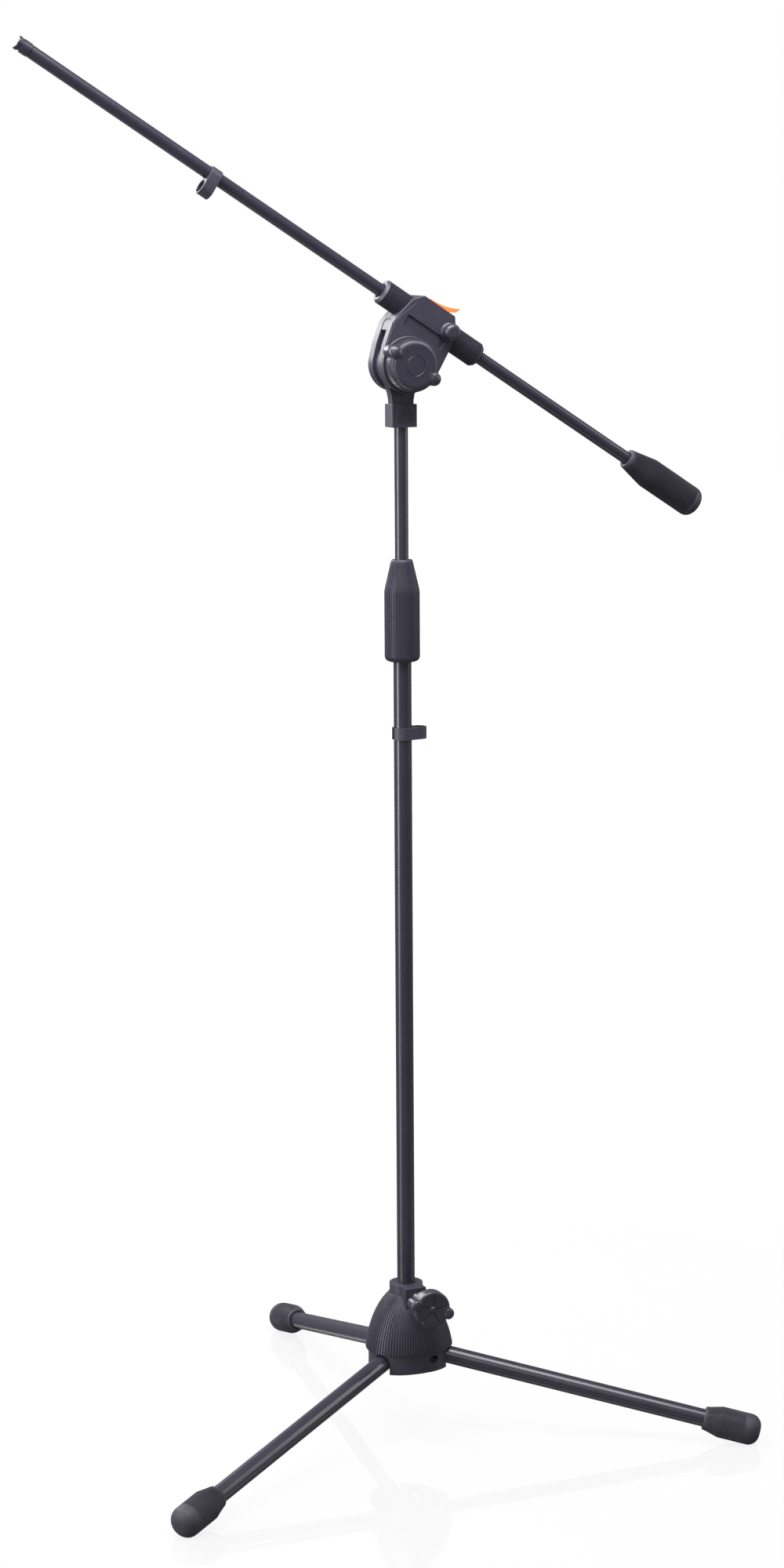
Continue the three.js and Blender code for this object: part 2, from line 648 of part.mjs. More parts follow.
// ---------------------------------------------------------------- upper rod
const upper = new THREE.Group();
const BUSH_H = 22;
const BUSH_R = MAST_R - MAST_WALL - FIT;
const STUD_ROOT = 30; // how far the stud's root reaches down into the rod
const STUD_REACH = 16; // how far the stud stands out of the rod
const STUD_TOP_Z = ROD_TOP_Z + STUD_REACH;

function rodGuideBush() {
  const lipTop = ROD_BOTTOM_Z - FIT;
  const lip = rod(BUSH_R, lipTop - BUSH_H / 2, lipTop);
  const grip = rod(ROD_R - ROD_WALL - FIT, lipTop - 1, ROD_BOTTOM_Z + BUSH_H / 2);
  return join([lip, grip]);
}

function rodStud() {
  const root = rod(ROD_R - ROD_WALL - FIT, ROD_TOP_Z - STUD_ROOT, ROD_TOP_Z);
  return join([root, rod(STUD_R, ROD_TOP_Z - 1, STUD_TOP_Z)]);
}

add(upper, "upper_rod", tube(ROD_R, ROD_R - ROD_WALL, ROD_BOTTOM_Z, ROD_TOP_Z), PAINT);
add(upper, "rod_guide_bush", rodGuideBush(), PLASTIC);
add(upper, "rod_stud", rodStud(), STEEL);
stand.add(upper);

// ---------------------------------------------------------------- yoke
const YOKE_HALF = YOKE_T / 2;
const NECK_SPREAD = 0.86 * YOKE_R; // half the neck's width where it meets the disc
const CHEEK_WALL = 2; // around the stud, above the socket

// A disc that the head tilts on, a neck and a square socket for the rod.
function yoke() {
  const disc = alongFront(rod(YOKE_R, -YOKE_HALF, YOKE_HALF, WIDE_ROUND)).translate([0, 0, TILT_Z]);
  const wide = NECK_SPREAD;
  const narrow = NECK_W / 2;
  const neckShape = new THREE.Shape();
  neckShape.moveTo(-narrow, BLOCK_TOP_Z - 1);
  neckShape.quadraticCurveTo(-narrow, TILT_Z - YOKE_R, -wide, TILT_Z - YOKE_R / 2);
  neckShape.lineTo(wide, TILT_Z - YOKE_R / 2);
  neckShape.quadraticCurveTo(narrow, TILT_Z - YOKE_R, narrow, BLOCK_TOP_Z - 1);
  const neck = slab(neckShape, -YOKE_HALF, YOKE_HALF, 6);
  const socket = block(
    [-BLOCK_W / 2, -BLOCK_D / 2, BLOCK_BOTTOM_Z],
    [BLOCK_W / 2, BLOCK_D / 2, BLOCK_TOP_Z],
  );
  const cheek = rod(STUD_R + CHEEK_WALL, BLOCK_TOP_Z - 1, STUD_TOP_Z + CHEEK_WALL, SMALL_ROUND);
  const cuts = [
    rod(ROD_R + FIT, BLOCK_BOTTOM_Z - 1, ROD_TOP_Z + FIT),
    rod(STUD_R + FIT, ROD_TOP_Z, STUD_TOP_Z + FIT),
    alongFront(rod(TILT_BOLT_R + FIT, -BLOCK_D, BLOCK_D, SMALL_ROUND)).translate([0, 0, TILT_Z]),
  ];
  return join([disc, neck, socket, cheek]).subtract(join(cuts));
}

add(stand, "yoke", yoke(), PLASTIC);

// ---------------------------------------------------------------- head
// Everything below is in the head's own axes: X is u, Z is w, and the tilt axis is the origin.
const head = new THREE.Group();
head.position.set(0, 0, TILT_Z);
head.rotation.y = BOOM_PITCH;

const DISC_ROOM = YOKE_HALF + FIT + WASHER_T + FIT; // half the slot that the yoke's disc turns in
const LEVER_ROOM = LEVER_T / 2 + FIT;
const SLOT_FLOOR = BOOM_OFFSET + SLEEVE_R; // where the lever's slot ends, on the sleeve
const PIN_HALF = 12; // half the length of the lever's pin
const PAD_HALF = 5; // half the brake pad's length
const WASHER_ROUND = 28; // sides of the washers and the sleeve
const PAD_U = LEVER_PIN_U + 8;

const SHELL_ROUND_START = 15; // degrees below level where the shells' round bottom begins
const SHELL_CURVE = 14; // straight pieces in that curve
const LEVER_HEEL = 4.5; // how far the lever reaches behind its pin
const LEVER_SLOT_START = LEVER_PIN_U - LEVER_HEEL - 1.5;
const LEVER_SLOT_END = SHELL_RIGHT[1][0] - 1;

// The side of one shell, seen along the tilt axis.
function shellOutline() {
  const shape = new THREE.Shape();
  shape.moveTo(...SHELL_LEFT[0]);
  for (const corner of [...SHELL_LEFT.slice(1), ...SHELL_RIGHT]) shape.lineTo(...corner);
  shape.absarc(0, 0, SHELL_ROUND, radians(-SHELL_ROUND_START), radians(SHELL_ROUND_START - 180), true);
  return shape;
}

// Turns a solid that was made along Z to lie on the lever pin's axis, or on the clamp button's.
const onLeverPin = (body) => alongFront(body).translate([LEVER_PIN_U, 0, LEVER_PIN_W]);
const onButton = (body) => alongFront(body).translate([BUTTON_U, 0, BOOM_OFFSET]);

// A half of the head's casing, on the side of -Y (side -1) or of +Y (side 1).
function shell(side) {
  const near = Math.min(side * SHELL_SPLIT, side * SHELL_BACK);
  const far = Math.max(side * SHELL_SPLIT, side * SHELL_BACK);
  const wide = 2 * SHELL_ROUND;
  const cuts = [
    block([-wide, -DISC_ROOM, -wide], [wide, DISC_ROOM, BRIDGE_W]),
    alongX(rod(CHANNEL_R, -wide, wide)).translate([0, 0, BOOM_OFFSET]),
    alongFront(rod(TILT_BOLT_R + FIT, -wide, wide, SMALL_ROUND)),
    block([LEVER_SLOT_START, -LEVER_ROOM, BOOM_OFFSET], [LEVER_SLOT_END, LEVER_ROOM, 2 * wide]),
    onLeverPin(rod(LEVER_PIN_R + FIT, -PIN_HALF - FIT, PIN_HALF + FIT, SMALL_ROUND)),
  ];
  if (side < 0) {
    cuts.push(onButton(rod(BUTTON_SCREW_R + FIT, 0, wide, SMALL_ROUND)));
  }
  return slab(shellOutline(), near, far, SHELL_CURVE).subtract(join(cuts));
}

function boomSleeve() {
  const bore = BOOM_R + FIT;
  const sleeve = alongX(tube(SLEEVE_R, bore, SLEEVE_FROM, SLEEVE_TO, WASHER_ROUND));
  const half = LEVER_T / 2;
  const top = SLEEVE_R + 1;
  const padWindow = block([PAD_U - PAD_HALF, -half, 0], [PAD_U + PAD_HALF, half, top]);
  const screwWay = alongFront(rod(BUTTON_SCREW_R + FIT, 0, top, SMALL_ROUND));
  const cuts = join([padWindow, screwWay.translate([BUTTON_U, 0, 0])]);
  return sleeve.subtract(cuts).translate([0, 0, BOOM_OFFSET]);
}

function frictionWasher(side) {
  const near = YOKE_HALF + FIT;
  const ring = tube(YOKE_R - 1, TILT_BOLT_R + FIT, near, near + WASHER_T, WASHER_ROUND);
  return ring.rotate([-side * 90, 0, 0]);
}

const SPACER_BACK = SHELL_BACK + FIT;
const KNOB_BACK = KNOB_FRONT - KNOB_T;
const INSERT_T = 12;
const CAP_T = 2.5;
const TILT_HEAD_T = 5;

// A square-shouldered bolt from the back shell through to the knob's insert.
function tiltBolt() {
  const headFace = -SHELL_BACK - FIT;
  const headPart = rod(TILT_HEAD_R, headFace - TILT_HEAD_T, headFace, 6);
  const shank = rod(TILT_BOLT_R, headFace - 1, KNOB_BACK + INSERT_T - 2, SMALL_ROUND);
  return alongFront(join([headPart, shank]));
}

// A ring around the tilt bolt, between two distances in front of the mast's axis.
const boltRing = (r, near, far) =>
  alongFront(tube(r, TILT_BOLT_R + FIT, near, far, WIDE_ROUND));

function tiltKnob() {
  const body = twoLobedKnob(KNOB_R, KNOB_T, KNOB_LOBE_R, KNOB_FRONT);
  const cuts = [
    rod(INSERT_R + FIT, KNOB_BACK - 1, KNOB_BACK + INSERT_T + FIT, SMALL_ROUND),
    rod(KNOB_CAP_R + FIT, KNOB_FRONT - CAP_T - FIT, KNOB_FRONT + 1),
  ];
  return body.subtract(alongFront(join(cuts)));
}

const BUTTON_BASE_T = 4;
const BUTTON_LIP = 1.3; // how far the base stands out from the button
const BUTTON_ROUND = 3;
const BUTTON_CROWN = 5; // solid plastic over the end of the screw

function boomKnob() {
  const base = rod(BUTTON_R + BUTTON_LIP, SPACER_BACK, SPACER_BACK + BUTTON_BASE_T);
  const capBack = SPACER_BACK + BUTTON_BASE_T - 1;
  const cap = turned([
    [0, capBack],
    [BUTTON_R, capBack],
    ...arc(BUTTON_R - BUTTON_ROUND, BUTTON_FRONT - BUTTON_ROUND, BUTTON_ROUND, 0, 90, 3),
    [0, BUTTON_FRONT],
  ]);
  const bore = rod(BUTTON_SCREW_R + FIT, 0, BUTTON_FRONT - BUTTON_CROWN, SMALL_ROUND);
  return onButton(join([base, solid(cap)]).subtract(bore));
}

function boomKnobScrew() {
  const end = BUTTON_FRONT - BUTTON_CROWN - FIT;
  return onButton(rod(BUTTON_SCREW_R, BOOM_R + 2 * FIT, end, SMALL_ROUND));
}

// The release lever: a round foot on its pin and a thumb piece that sweeps up to a point.
function releaseLever() {
  const sole = SLOT_FLOOR + 2 * FIT;
  const back = LEVER_PIN_U - LEVER_HEEL;
  const brow = SHELL_TOP + 3.5; // top of the lever over its pin
  const shape = new THREE.Shape();
  shape.moveTo(LEVER_PIN_U - 2, sole);
  shape.lineTo(back, sole + 2);
  shape.lineTo(back, brow);
  shape.quadraticCurveTo(LEVER_PIN_U + 18, brow, LEVER_PIN_U + 33.5, SHELL_TOP + 13);
  shape.lineTo(LEVER_PIN_U + 30.3, SHELL_TOP + 6.5);
  shape.lineTo(PAD_U + PAD_HALF + 1, sole + 2.2);
  const hole = onLeverPin(rod(LEVER_PIN_R + FIT, -LEVER_T, LEVER_T, SMALL_ROUND));
  return slab(shape, -LEVER_T / 2, LEVER_T / 2, 6).subtract(hole);
}

// A bent strip under the lever that pushes it back up.
function leverSpring() {
  const from = PAD_U + PAD_HALF + 2;
  const floor = SLOT_FLOOR + FIT;
  const strip = 0.6;
  const rise = 4.4;
  const length = 9;
  const shape = new THREE.Shape(
    points([
      [from, floor],
      [from + length, floor],
      [from + length, floor + rise],
      [from + length - strip, floor + rise],
      [from + length - strip, floor + strip],
      [from, floor + strip],
    ]),
  );
  return slab(shape, -LEVER_T / 3, LEVER_T / 3);
}

function brakePad() {
  const low = BOOM_R + FIT;
  const gap = FIT;
  const pad = block(
    [PAD_U - PAD_HALF + gap, -LEVER_T / 2 + gap, low],
    [PAD_U + PAD_HALF - gap, LEVER_T / 2 - gap, SLEEVE_R + FIT],
  );
  return pad.translate([0, 0, BOOM_OFFSET]);
}

add(head, "front_shell", shell(-1), PLASTIC);
add(head, "back_shell", shell(1), PLASTIC);
add(head, "boom_sleeve", boomSleeve(), PLASTIC);
add(head, "friction_washer_front", frictionWasher(-1), RUBBER);
add(head, "friction_washer_back", frictionWasher(1), RUBBER);
add(head, "tilt_bolt", tiltBolt(), STEEL);
add(head, "spacer_disc", boltRing(SPACER_R, SPACER_BACK, SPACER_BACK + SPACER_T), PLASTIC);
add(head, "tilt_knob", tiltKnob(), PLASTIC);
add(head, "tilt_knob_insert", boltRing(INSERT_R, KNOB_BACK + FIT, KNOB_BACK + INSERT_T), BRASS);
add(head, "tilt_knob_cap", alongFront(rod(KNOB_CAP_R, KNOB_FRONT - CAP_T, KNOB_FRONT)), PLASTIC);
add(head, "boom_knob", boomKnob(), PLASTIC);
add(head, "boom_knob_screw", boomKnobScrew(), STEEL);
add(head, "release_lever", releaseLever(), ORANGE);
add(head, "lever_pin", onLeverPin(rod(LEVER_PIN_R, -PIN_HALF, PIN_HALF, SMALL_ROUND)), STEEL);
add(head, "lever_spring", leverSpring(), STEEL);
add(head, "brake_pad", brakePad(), RUBBER);

// ---------------------------------------------------------------- boom
const TUBE_START = BOOM_TIP + TIP_LENGTH;
const TIP_GRIP = 25; // how far the tip's spigot reaches into the tube
const CORE_R = 12;
const CORE_FROM = WEIGHT_FROM + WEIGHT_TAPER + 4;
const CORE_TO = WEIGHT_TO - 5;
const WEIGHT_ROUND = 6;

// Turns a solid that was made along Z to lie on the boom's axis.
const onBoom = (body) => alongX(body).translate([0, 0, BOOM_OFFSET]);

function tipAdapter() {
  const face = rod(TIP_R, BOOM_TIP, TUBE_START - FIT);
  const spigot = rod(BOOM_R - BOOM_WALL - FIT, TUBE_START - 1, TUBE_START + TIP_GRIP);
  return onBoom(join([face, spigot]));
}

function counterweightGrip() {
  const bore = BOOM_R + FIT;
  const room = CORE_R + FIT;
  const grip = turned([
    [0, CORE_TO + FIT],
    [room, CORE_TO + FIT],
    [room, CORE_FROM - FIT],
    [bore, CORE_FROM - FIT],
    [bore, WEIGHT_FROM],
    [WEIGHT_MOUTH_R, WEIGHT_FROM],
    [WEIGHT_R, WEIGHT_FROM + WEIGHT_TAPER],
    ...arc(WEIGHT_R - WEIGHT_ROUND, WEIGHT_TO - WEIGHT_ROUND, WEIGHT_ROUND, 0, 90, 3),
    [0, WEIGHT_TO],
  ]);
  return onBoom(solid(grip));
}

const boomTube = tube(BOOM_R, BOOM_R - BOOM_WALL, TUBE_START, BOOM_TAIL);
const core = tube(CORE_R, BOOM_R + FIT, CORE_FROM, CORE_TO);
add(head, "boom_tube", onBoom(boomTube), PAINT);
add(head, "tip_adapter", tipAdapter(), PAINT);
add(head, "counterweight_core", onBoom(core), IRON);
add(head, "counterweight_grip", counterweightGrip(), RUBBER);
add(head, "boom_clip", onBoom(cableClip(BOOM_R).translate([0, 0, BOOM_CLIP_U])), PLASTIC);
stand.add(head);

// ---------------------------------------------------------------- origin
// The middle of the footprint, on the floor.
const footprint = new THREE.Box3().setFromObject(stand, true);
const middle = footprint.getCenter(new THREE.Vector3());
stand.position.set(-middle.x, -middle.y, -footprint.min.z);

export default stand;
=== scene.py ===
# %% [markdown]
# # A boom microphone stand
# The measured frame of the stand is loaded first: tubes, joints and every part's place.
# Everything here is in metres, with the floor at Z = 0. Each visible piece is then modelled
# in more detail at the place that the frame gives, and given the finish of the real thing.

# %% Load the measured frame
import json
import math

import bmesh
import bpy
from mathutils import Matrix, Vector


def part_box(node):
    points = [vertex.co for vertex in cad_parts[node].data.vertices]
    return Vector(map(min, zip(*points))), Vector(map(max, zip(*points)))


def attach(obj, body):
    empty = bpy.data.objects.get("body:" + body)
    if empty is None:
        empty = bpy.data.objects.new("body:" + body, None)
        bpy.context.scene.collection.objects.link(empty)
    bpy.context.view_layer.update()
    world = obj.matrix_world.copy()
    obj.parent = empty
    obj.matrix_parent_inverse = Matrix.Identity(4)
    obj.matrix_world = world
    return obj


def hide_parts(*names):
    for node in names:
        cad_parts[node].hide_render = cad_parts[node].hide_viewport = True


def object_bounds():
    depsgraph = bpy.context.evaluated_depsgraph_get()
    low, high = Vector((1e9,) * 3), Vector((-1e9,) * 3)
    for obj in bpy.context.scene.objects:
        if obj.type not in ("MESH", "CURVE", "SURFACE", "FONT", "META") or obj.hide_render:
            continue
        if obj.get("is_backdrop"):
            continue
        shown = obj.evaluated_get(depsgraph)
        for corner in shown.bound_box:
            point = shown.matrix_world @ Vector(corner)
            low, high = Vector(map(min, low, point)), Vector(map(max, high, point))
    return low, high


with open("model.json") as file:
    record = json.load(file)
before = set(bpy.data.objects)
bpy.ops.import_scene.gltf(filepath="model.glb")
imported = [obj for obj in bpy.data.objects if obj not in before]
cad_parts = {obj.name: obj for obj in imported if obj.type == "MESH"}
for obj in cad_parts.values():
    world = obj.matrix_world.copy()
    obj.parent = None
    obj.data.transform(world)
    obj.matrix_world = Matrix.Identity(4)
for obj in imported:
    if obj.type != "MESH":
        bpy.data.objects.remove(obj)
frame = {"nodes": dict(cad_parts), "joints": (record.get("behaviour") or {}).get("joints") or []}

frame_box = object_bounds()
JOINTS = {joint["name"]: joint for joint in frame["joints"]}
print(len(frame["nodes"]), "parts and", len(JOINTS), "joints in the frame")

# %% [markdown]
# Sizes are easier to read in millimetres, so one name turns them to metres. The frame's boxes
# give the places: the mast's axis, the tilt axis, and the boom's direction.

# %% Axes and places
MM = 0.001
UP = Vector((0, 0, 1))
FRONT = Vector((0, -1, 0))


def low(node, side):
    """Lowest coordinate of a part's box: side 0 is X, 1 is Y and 2 is Z."""
    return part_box(node)[0][side]


def high(node, side):
    """Highest coordinate of a part's box."""
    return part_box(node)[1][side]


def middle(node):
    """The middle of a part's box."""
    lowest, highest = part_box(node)
    return (Vector(lowest) + Vector(highest)) / 2


MAST_X, MAST_Y = middle("lower_tube").xy
TILT = Vector(JOINTS["boom_tilt"]["pos_m"])
ALONG = Vector(JOINTS["boom_slide"]["axis"])  # along the boom, towards the counterweight
ACROSS = Vector((-ALONG.z, 0, ALONG.x))  # square to the boom, upwards
BOOM_ABOVE = (middle("boom_tube") - TILT).dot(ACROSS)
print("boom's axis is", round(BOOM_ABOVE / MM, 1), "mm above the tilt axis")

# %% [markdown]
# Three matrices carry a piece from where it is easy to model, upright on the origin, to its
# place. One stands it on the mast's axis, one lays it along the boom, and one turns its
# top to the front, as a knob's face.

# %% Placing matrices
def frame_of(x, y, z, at):
    """A matrix with those three directions and that origin."""
    columns = Matrix((x, y, z)).transposed()
    return Matrix.Translation(at) @ columns.to_4x4()


ON_MAST = Matrix.Translation((MAST_X, MAST_Y, 0))
ON_BOOM = frame_of(ACROSS, FRONT, ALONG, TILT + ACROSS * BOOM_ABOVE)


def facing_front(x, z):
    """Stands on the mast's axis and points to the front, at a place across and up."""
    return frame_of(Vector((1, 0, 0)), UP, FRONT, Vector((x, MAST_Y, z)))


# %% [markdown]
# The camera stands a little left of the stand's front and looks slightly down, from far away,
# so that the boom and the legs keep their true proportions. It is a long lens, turned by a
# third of a degree as a hand-levelled tripod often is.

# %% Camera
CAMERA_AIM = Vector((-0.0038, -0.1437, 0.7613))
CAMERA_DISTANCE = 3.72
CAMERA_SWING = math.radians(23.03)  # from the front, towards the boom's raised end
CAMERA_DROP = math.radians(9.62)
CAMERA_ROLL = math.radians(-0.37)
CAMERA_LENS = 78.15

looking = Vector((math.sin(CAMERA_SWING), math.cos(CAMERA_SWING), -math.tan(CAMERA_DROP)))
looking.normalize()
right = looking.cross(UP).normalized()
above = right.cross(looking)
roll = Matrix.Rotation(-CAMERA_ROLL, 3, looking)

camera_data = bpy.data.cameras.new("camera")
camera_data.lens = CAMERA_LENS
camera_data.sensor_width = 36
camera_data.clip_end = 50
camera = bpy.data.objects.new("camera", camera_data)
camera.matrix_world = frame_of(
    roll @ right, roll @ above, -looking, CAMERA_AIM - looking * CAMERA_DISTANCE
)
bpy.context.scene.collection.objects.link(camera)
bpy.context.scene.camera = camera
print("camera at", [round(x, 3) for x in camera.location])

# %% [markdown]
# A node tree is easier to read when each node is one line. This one function adds a node,
# sets its values by name and links any socket that it is handed.

# %% One helper for nodes
def add_node(tree, kind, settings=None, **inputs):
    """Adds a node. Settings are its own properties; inputs are values, or sockets to link."""
    node = tree.nodes.new(kind)
    for name, value in (settings or {}).items():
        setattr(node, name, value)
    for name, value in inputs.items():
        socket = node.inputs[name.replace("_", " ")]
        if isinstance(value, bpy.types.NodeSocket):
            tree.links.new(value, socket)
        else:
            socket.default_value = value
    return node


def linear(hex_colour):
    """An sRGB hex colour as the linear numbers that a shader works in."""
    parts = [int(hex_colour[i : i + 2], 16) / 255 for i in (1, 3, 5)]
    return [p / 12.92 if p <= 0.04045 else ((p + 0.055) / 1.055) ** 2.4 for p in parts] + [1]


# %% [markdown]
# A studio sweep is a pale floor that runs into a bright background. To the lens the background
# is white, but it sends the stand only a quarter of that light, as a lit backdrop far behind
# would, so that the black mouldings stay black.

# %% World
BACKDROP = 1.0
FILL = 0.28
world = bpy.data.worlds.new("studio")
world.use_nodes = True
bpy.context.scene.world = world
bpy.context.scene.view_settings.view_transform = "Standard"
world_tree = world.node_tree
world_tree.nodes.clear()
rays = add_node(world_tree, "ShaderNodeLightPath")
brightness = add_node(world_tree, "ShaderNodeMapRange", Value=rays.outputs["Is Camera Ray"])
brightness.inputs["To Min"].default_value = FILL
brightness.inputs["To Max"].default_value = BACKDROP
sky = add_node(
    world_tree,
    "ShaderNodeBackground",
    Color=linear("#ffffff"),
    Strength=brightness.outputs["Result"],
)
add_node(world_tree, "ShaderNodeOutputWorld", Surface=sky.outputs[0])

# %% [markdown]
# The floor is a clear polished sheet laid on a light table. The lens sees the white table
# through it, dimmed a little round the feet by painted shade, and the sheet's polish adds a
# faint mirror image of the stand there. Far away there is no painted shade, so it meets the
# background without a line. It is clear to the lens alone: it sends the stand very little
# light, so that the undersides stay dark. A leg folded down below the floor still shows
# through it.

# %% Floor
FLOOR_HALF = 12.0
FLOOR_GLOW = 0.12  # on the stand
FLOOR_PAINTED_SHADE = 0.86  # painted shade: how bright the floor is to the lens under the stand
FLOOR_FAR = 1.0  # to the lens, from FAR_REACH outwards
NEAR_REACH = 0.8
FAR_REACH = 1.6
POLISH_ROUGHNESS = 0.04
POLISH_IOR = 1.8  # above real acrylic, so that the mirror image is strong enough to see
floor_mesh = bmesh.new()
bmesh.ops.create_grid(floor_mesh, x_segments=2, y_segments=2, size=FLOOR_HALF)
floor_data = bpy.data.meshes.new("floor")
floor_mesh.to_mesh(floor_data)
floor_mesh.free()
floor = bpy.data.objects.new("floor", floor_data)
bpy.context.scene.collection.objects.link(floor)
floor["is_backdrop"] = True

sheet = bpy.data.materials.new("clear_acrylic")
sheet.use_nodes = True
sheet_tree = sheet.node_tree
sheet_shader = sheet_tree.nodes["Principled BSDF"]
sheet_shader.inputs["Base Color"].default_value = linear("#3a3a3c")
sheet_shader.inputs["Roughness"].default_value = POLISH_ROUGHNESS
sheet_shader.inputs["IOR"].default_value = POLISH_IOR
sheet_shader.inputs["Emission Color"].default_value = linear("#ffffff")
# Painted shade: within NEAR_REACH of the stand the lens sees the floor at FLOOR_PAINTED_SHADE,
# brightening to FLOOR_FAR by FAR_REACH.
place = add_node(sheet_tree, "ShaderNodeTexCoord").outputs["Object"]
away = add_node(sheet_tree, "ShaderNodeVectorMath", {"operation": "LENGTH"}, Vector=place)
shown = add_node(sheet_tree, "ShaderNodeMapRange", Value=away.outputs["Value"])
shown.inputs["From Min"].default_value = NEAR_REACH
shown.inputs["From Max"].default_value = FAR_REACH
shown.inputs["To Min"].default_value = FLOOR_PAINTED_SHADE
shown.inputs["To Max"].default_value = FLOOR_FAR
seen = add_node(sheet_tree, "ShaderNodeLightPath").outputs["Is Camera Ray"]
glow = add_node(sheet_tree, "ShaderNodeMapRange", Value=seen)
glow.inputs["To Min"].default_value = FLOOR_GLOW
glow.inputs["To Max"].default_value = 0.0
sheet_tree.links.new(glow.outputs["Result"], sheet_shader.inputs["Emission Strength"])
clear = add_node(sheet_tree, "ShaderNodeMapRange", Value=seen)
sheet_tree.links.new(shown.outputs["Result"], clear.inputs["To Max"])
table = add_node(sheet_tree, "ShaderNodeBsdfTransparent", Color=clear.outputs["Result"])
both = sheet_tree.nodes.new("ShaderNodeAddShader")
sheet_tree.links.new(table.outputs[0], both.inputs[0])
sheet_tree.links.new(sheet_shader.outputs[0], both.inputs[1])
sheet_tree.links.new(both.outputs[0], sheet_tree.nodes["Material Output"].inputs["Surface"])
floor_data.materials.append(sheet)

# %% [markdown]
# Black tubes show the lights as long streaks, so the lights are large and soft: a tall one on
# the left that draws the bright edges, a wide one overhead, weaker ones in front and on the
# right, and one behind that skims the upper sides of the legs and the boom.

# %% Lights
def soft_box(name, place, aim, width, height, watts):
    """A rectangular area light that points at a place."""
    data = bpy.data.lights.new(name, "AREA")
    data.shape = "RECTANGLE"
    data.size = width
    data.size_y = height
    data.energy = watts
    lamp = bpy.data.objects.new(name, data)
    lamp.location = place
    direction = Vector(aim) - Vector(place)
    lamp.rotation_mode = "QUATERNION"
    lamp.rotation_quaternion = direction.to_track_quat("-Z", "Y")
    bpy.context.scene.collection.objects.link(lamp)
    return lamp


STAND_MIDDLE = (0, 0, 0.7)
HEAD_PLACE = (0, -0.1, 1.2)
soft_box("left_light", (-2.4, -0.2, 1.3), STAND_MIDDLE, 0.7, 2.6, 78)
soft_box("right_light", (2.6, -1.0, 1.6), STAND_MIDDLE, 0.5, 2.0, 22)
soft_box("top_light", (-0.3, -0.7, 2.7), HEAD_PLACE, 2.2, 1.3, 115)
soft_box("front_light", (-2.0, -3.4, 2.4), HEAD_PLACE, 1.0, 1.0, 28)
soft_box("back_light", (-1.0, 2.4, 2.1), STAND_MIDDLE, 1.8, 1.2, 80)

# %% [markdown]
# Every finish on this stand is black or near it, so what tells them apart is their surface.
# One function lays out the parts that they share. A soft noise varies the colour and the gloss
# as handling does, and a fine noise gives the grain of the mould or of the paint as a bump.

# %% The shared layout of a finish
def finish(name, colour, worn, roughness, spread, grain, depth, metallic=0.0, ior=1.5):
    """A finish: two colours, a roughness and how far it strays, and a grain size and depth."""
    material = bpy.data.materials.new(name)
    material.use_nodes = True
    tree = material.node_tree
    shader = tree.nodes["Principled BSDF"]
    place = add_node(tree, "ShaderNodeTexCoord").outputs["Object"]
    handling = add_node(
        tree, "ShaderNodeTexNoise", Vector=place, Scale=1 / (40 * MM), Detail=4.0
    ).outputs["Fac"]
    fine = add_node(
        tree, "ShaderNodeTexNoise", Vector=place, Scale=1 / grain, Detail=2.0
    ).outputs["Fac"]
    tint = add_node(
        tree,
        "ShaderNodeMix",
        {"data_type": "RGBA"},
        Factor=handling,
    )
    tint.inputs[6].default_value = linear(colour)
    tint.inputs[7].default_value = linear(worn)
    gloss = add_node(tree, "ShaderNodeMapRange", Value=handling)
    gloss.inputs["To Min"].default_value = roughness - spread
    gloss.inputs["To Max"].default_value = roughness + spread
    bump = add_node(tree, "ShaderNodeBump", Height=fine, Distance=depth, Strength=0.6)
    tree.links.new(tint.outputs[2], shader.inputs["Base Color"])
    tree.links.new(gloss.outputs["Result"], shader.inputs["Roughness"])
    tree.links.new(bump.outputs["Normal"], shader.inputs["Normal"])
    shader.inputs["Metallic"].default_value = metallic
    if not metallic:
        shader.inputs["IOR"].default_value = ior
    return material


# %% [markdown]
# The finishes themselves. The tubes are steel with a baked powder coat: it flows out almost
# smooth and keeps a faint orange peel. The mouldings are glass-filled nylon with a fine spark-
# eroded grain. The large tilt knob comes from a polished mould, and the feet and grips are a
# soft rubber that shows no gloss.

# %% Finishes
# Powder-coated steel: satin, with a slow ripple about 2 mm across.
PAINT = finish("powder_coated_steel", "#211f2a", "#292734", 0.28, 0.05, 2.0 * MM, 0.012 * MM)
# Glass-filled nylon from a spark-eroded mould: matt, its grain drawn at 0.6 mm so that it shows.
NYLON = finish("moulded_nylon", "#252330", "#2e2c39", 0.5, 0.07, 0.6 * MM, 0.04 * MM)
# The same nylon from a smoother mould: half gloss, for the knobs that hands turn.
SMOOTH_NYLON = finish("smooth_nylon", "#23212d", "#2c2a36", 0.34, 0.06, 0.8 * MM, 0.01 * MM)
# Thermoplastic rubber: dull, slightly dusty.
RUBBER = finish("soft_rubber", "#25242d", "#2f2d38", 0.62, 0.06, 0.4 * MM, 0.02 * MM, ior=1.45)
# Dyed acetal: bright orange with a low sheen.
ORANGE = finish("orange_acetal", "#f2702f", "#f78443", 0.42, 0.05, 0.6 * MM, 0.01 * MM)
# Zinc-plated steel: screws and pins, with a fine drawn texture.
STEEL = finish("zinc_plated_steel", "#b4b6b8", "#9a9ca0", 0.32, 0.08, 0.3 * MM, 0.01 * MM, 1.0)
# Dark steel for the hinge pins, a little oily: painted shade, dark so that the access hole beside
# each leg looks dark inside.
PIN_STEEL_PAINTED_SHADE = finish("pin_steel_painted_shade", "#2a2a2c", "#1d1d1f", 0.45, 0.08, 0.3 * MM, 0.01 * MM, 1.0)
# Turned brass: thread inserts and the clamp's pad.
BRASS = finish("turned_brass", "#c8a45a", "#b08c48", 0.3, 0.08, 0.3 * MM, 0.01 * MM, 1.0)
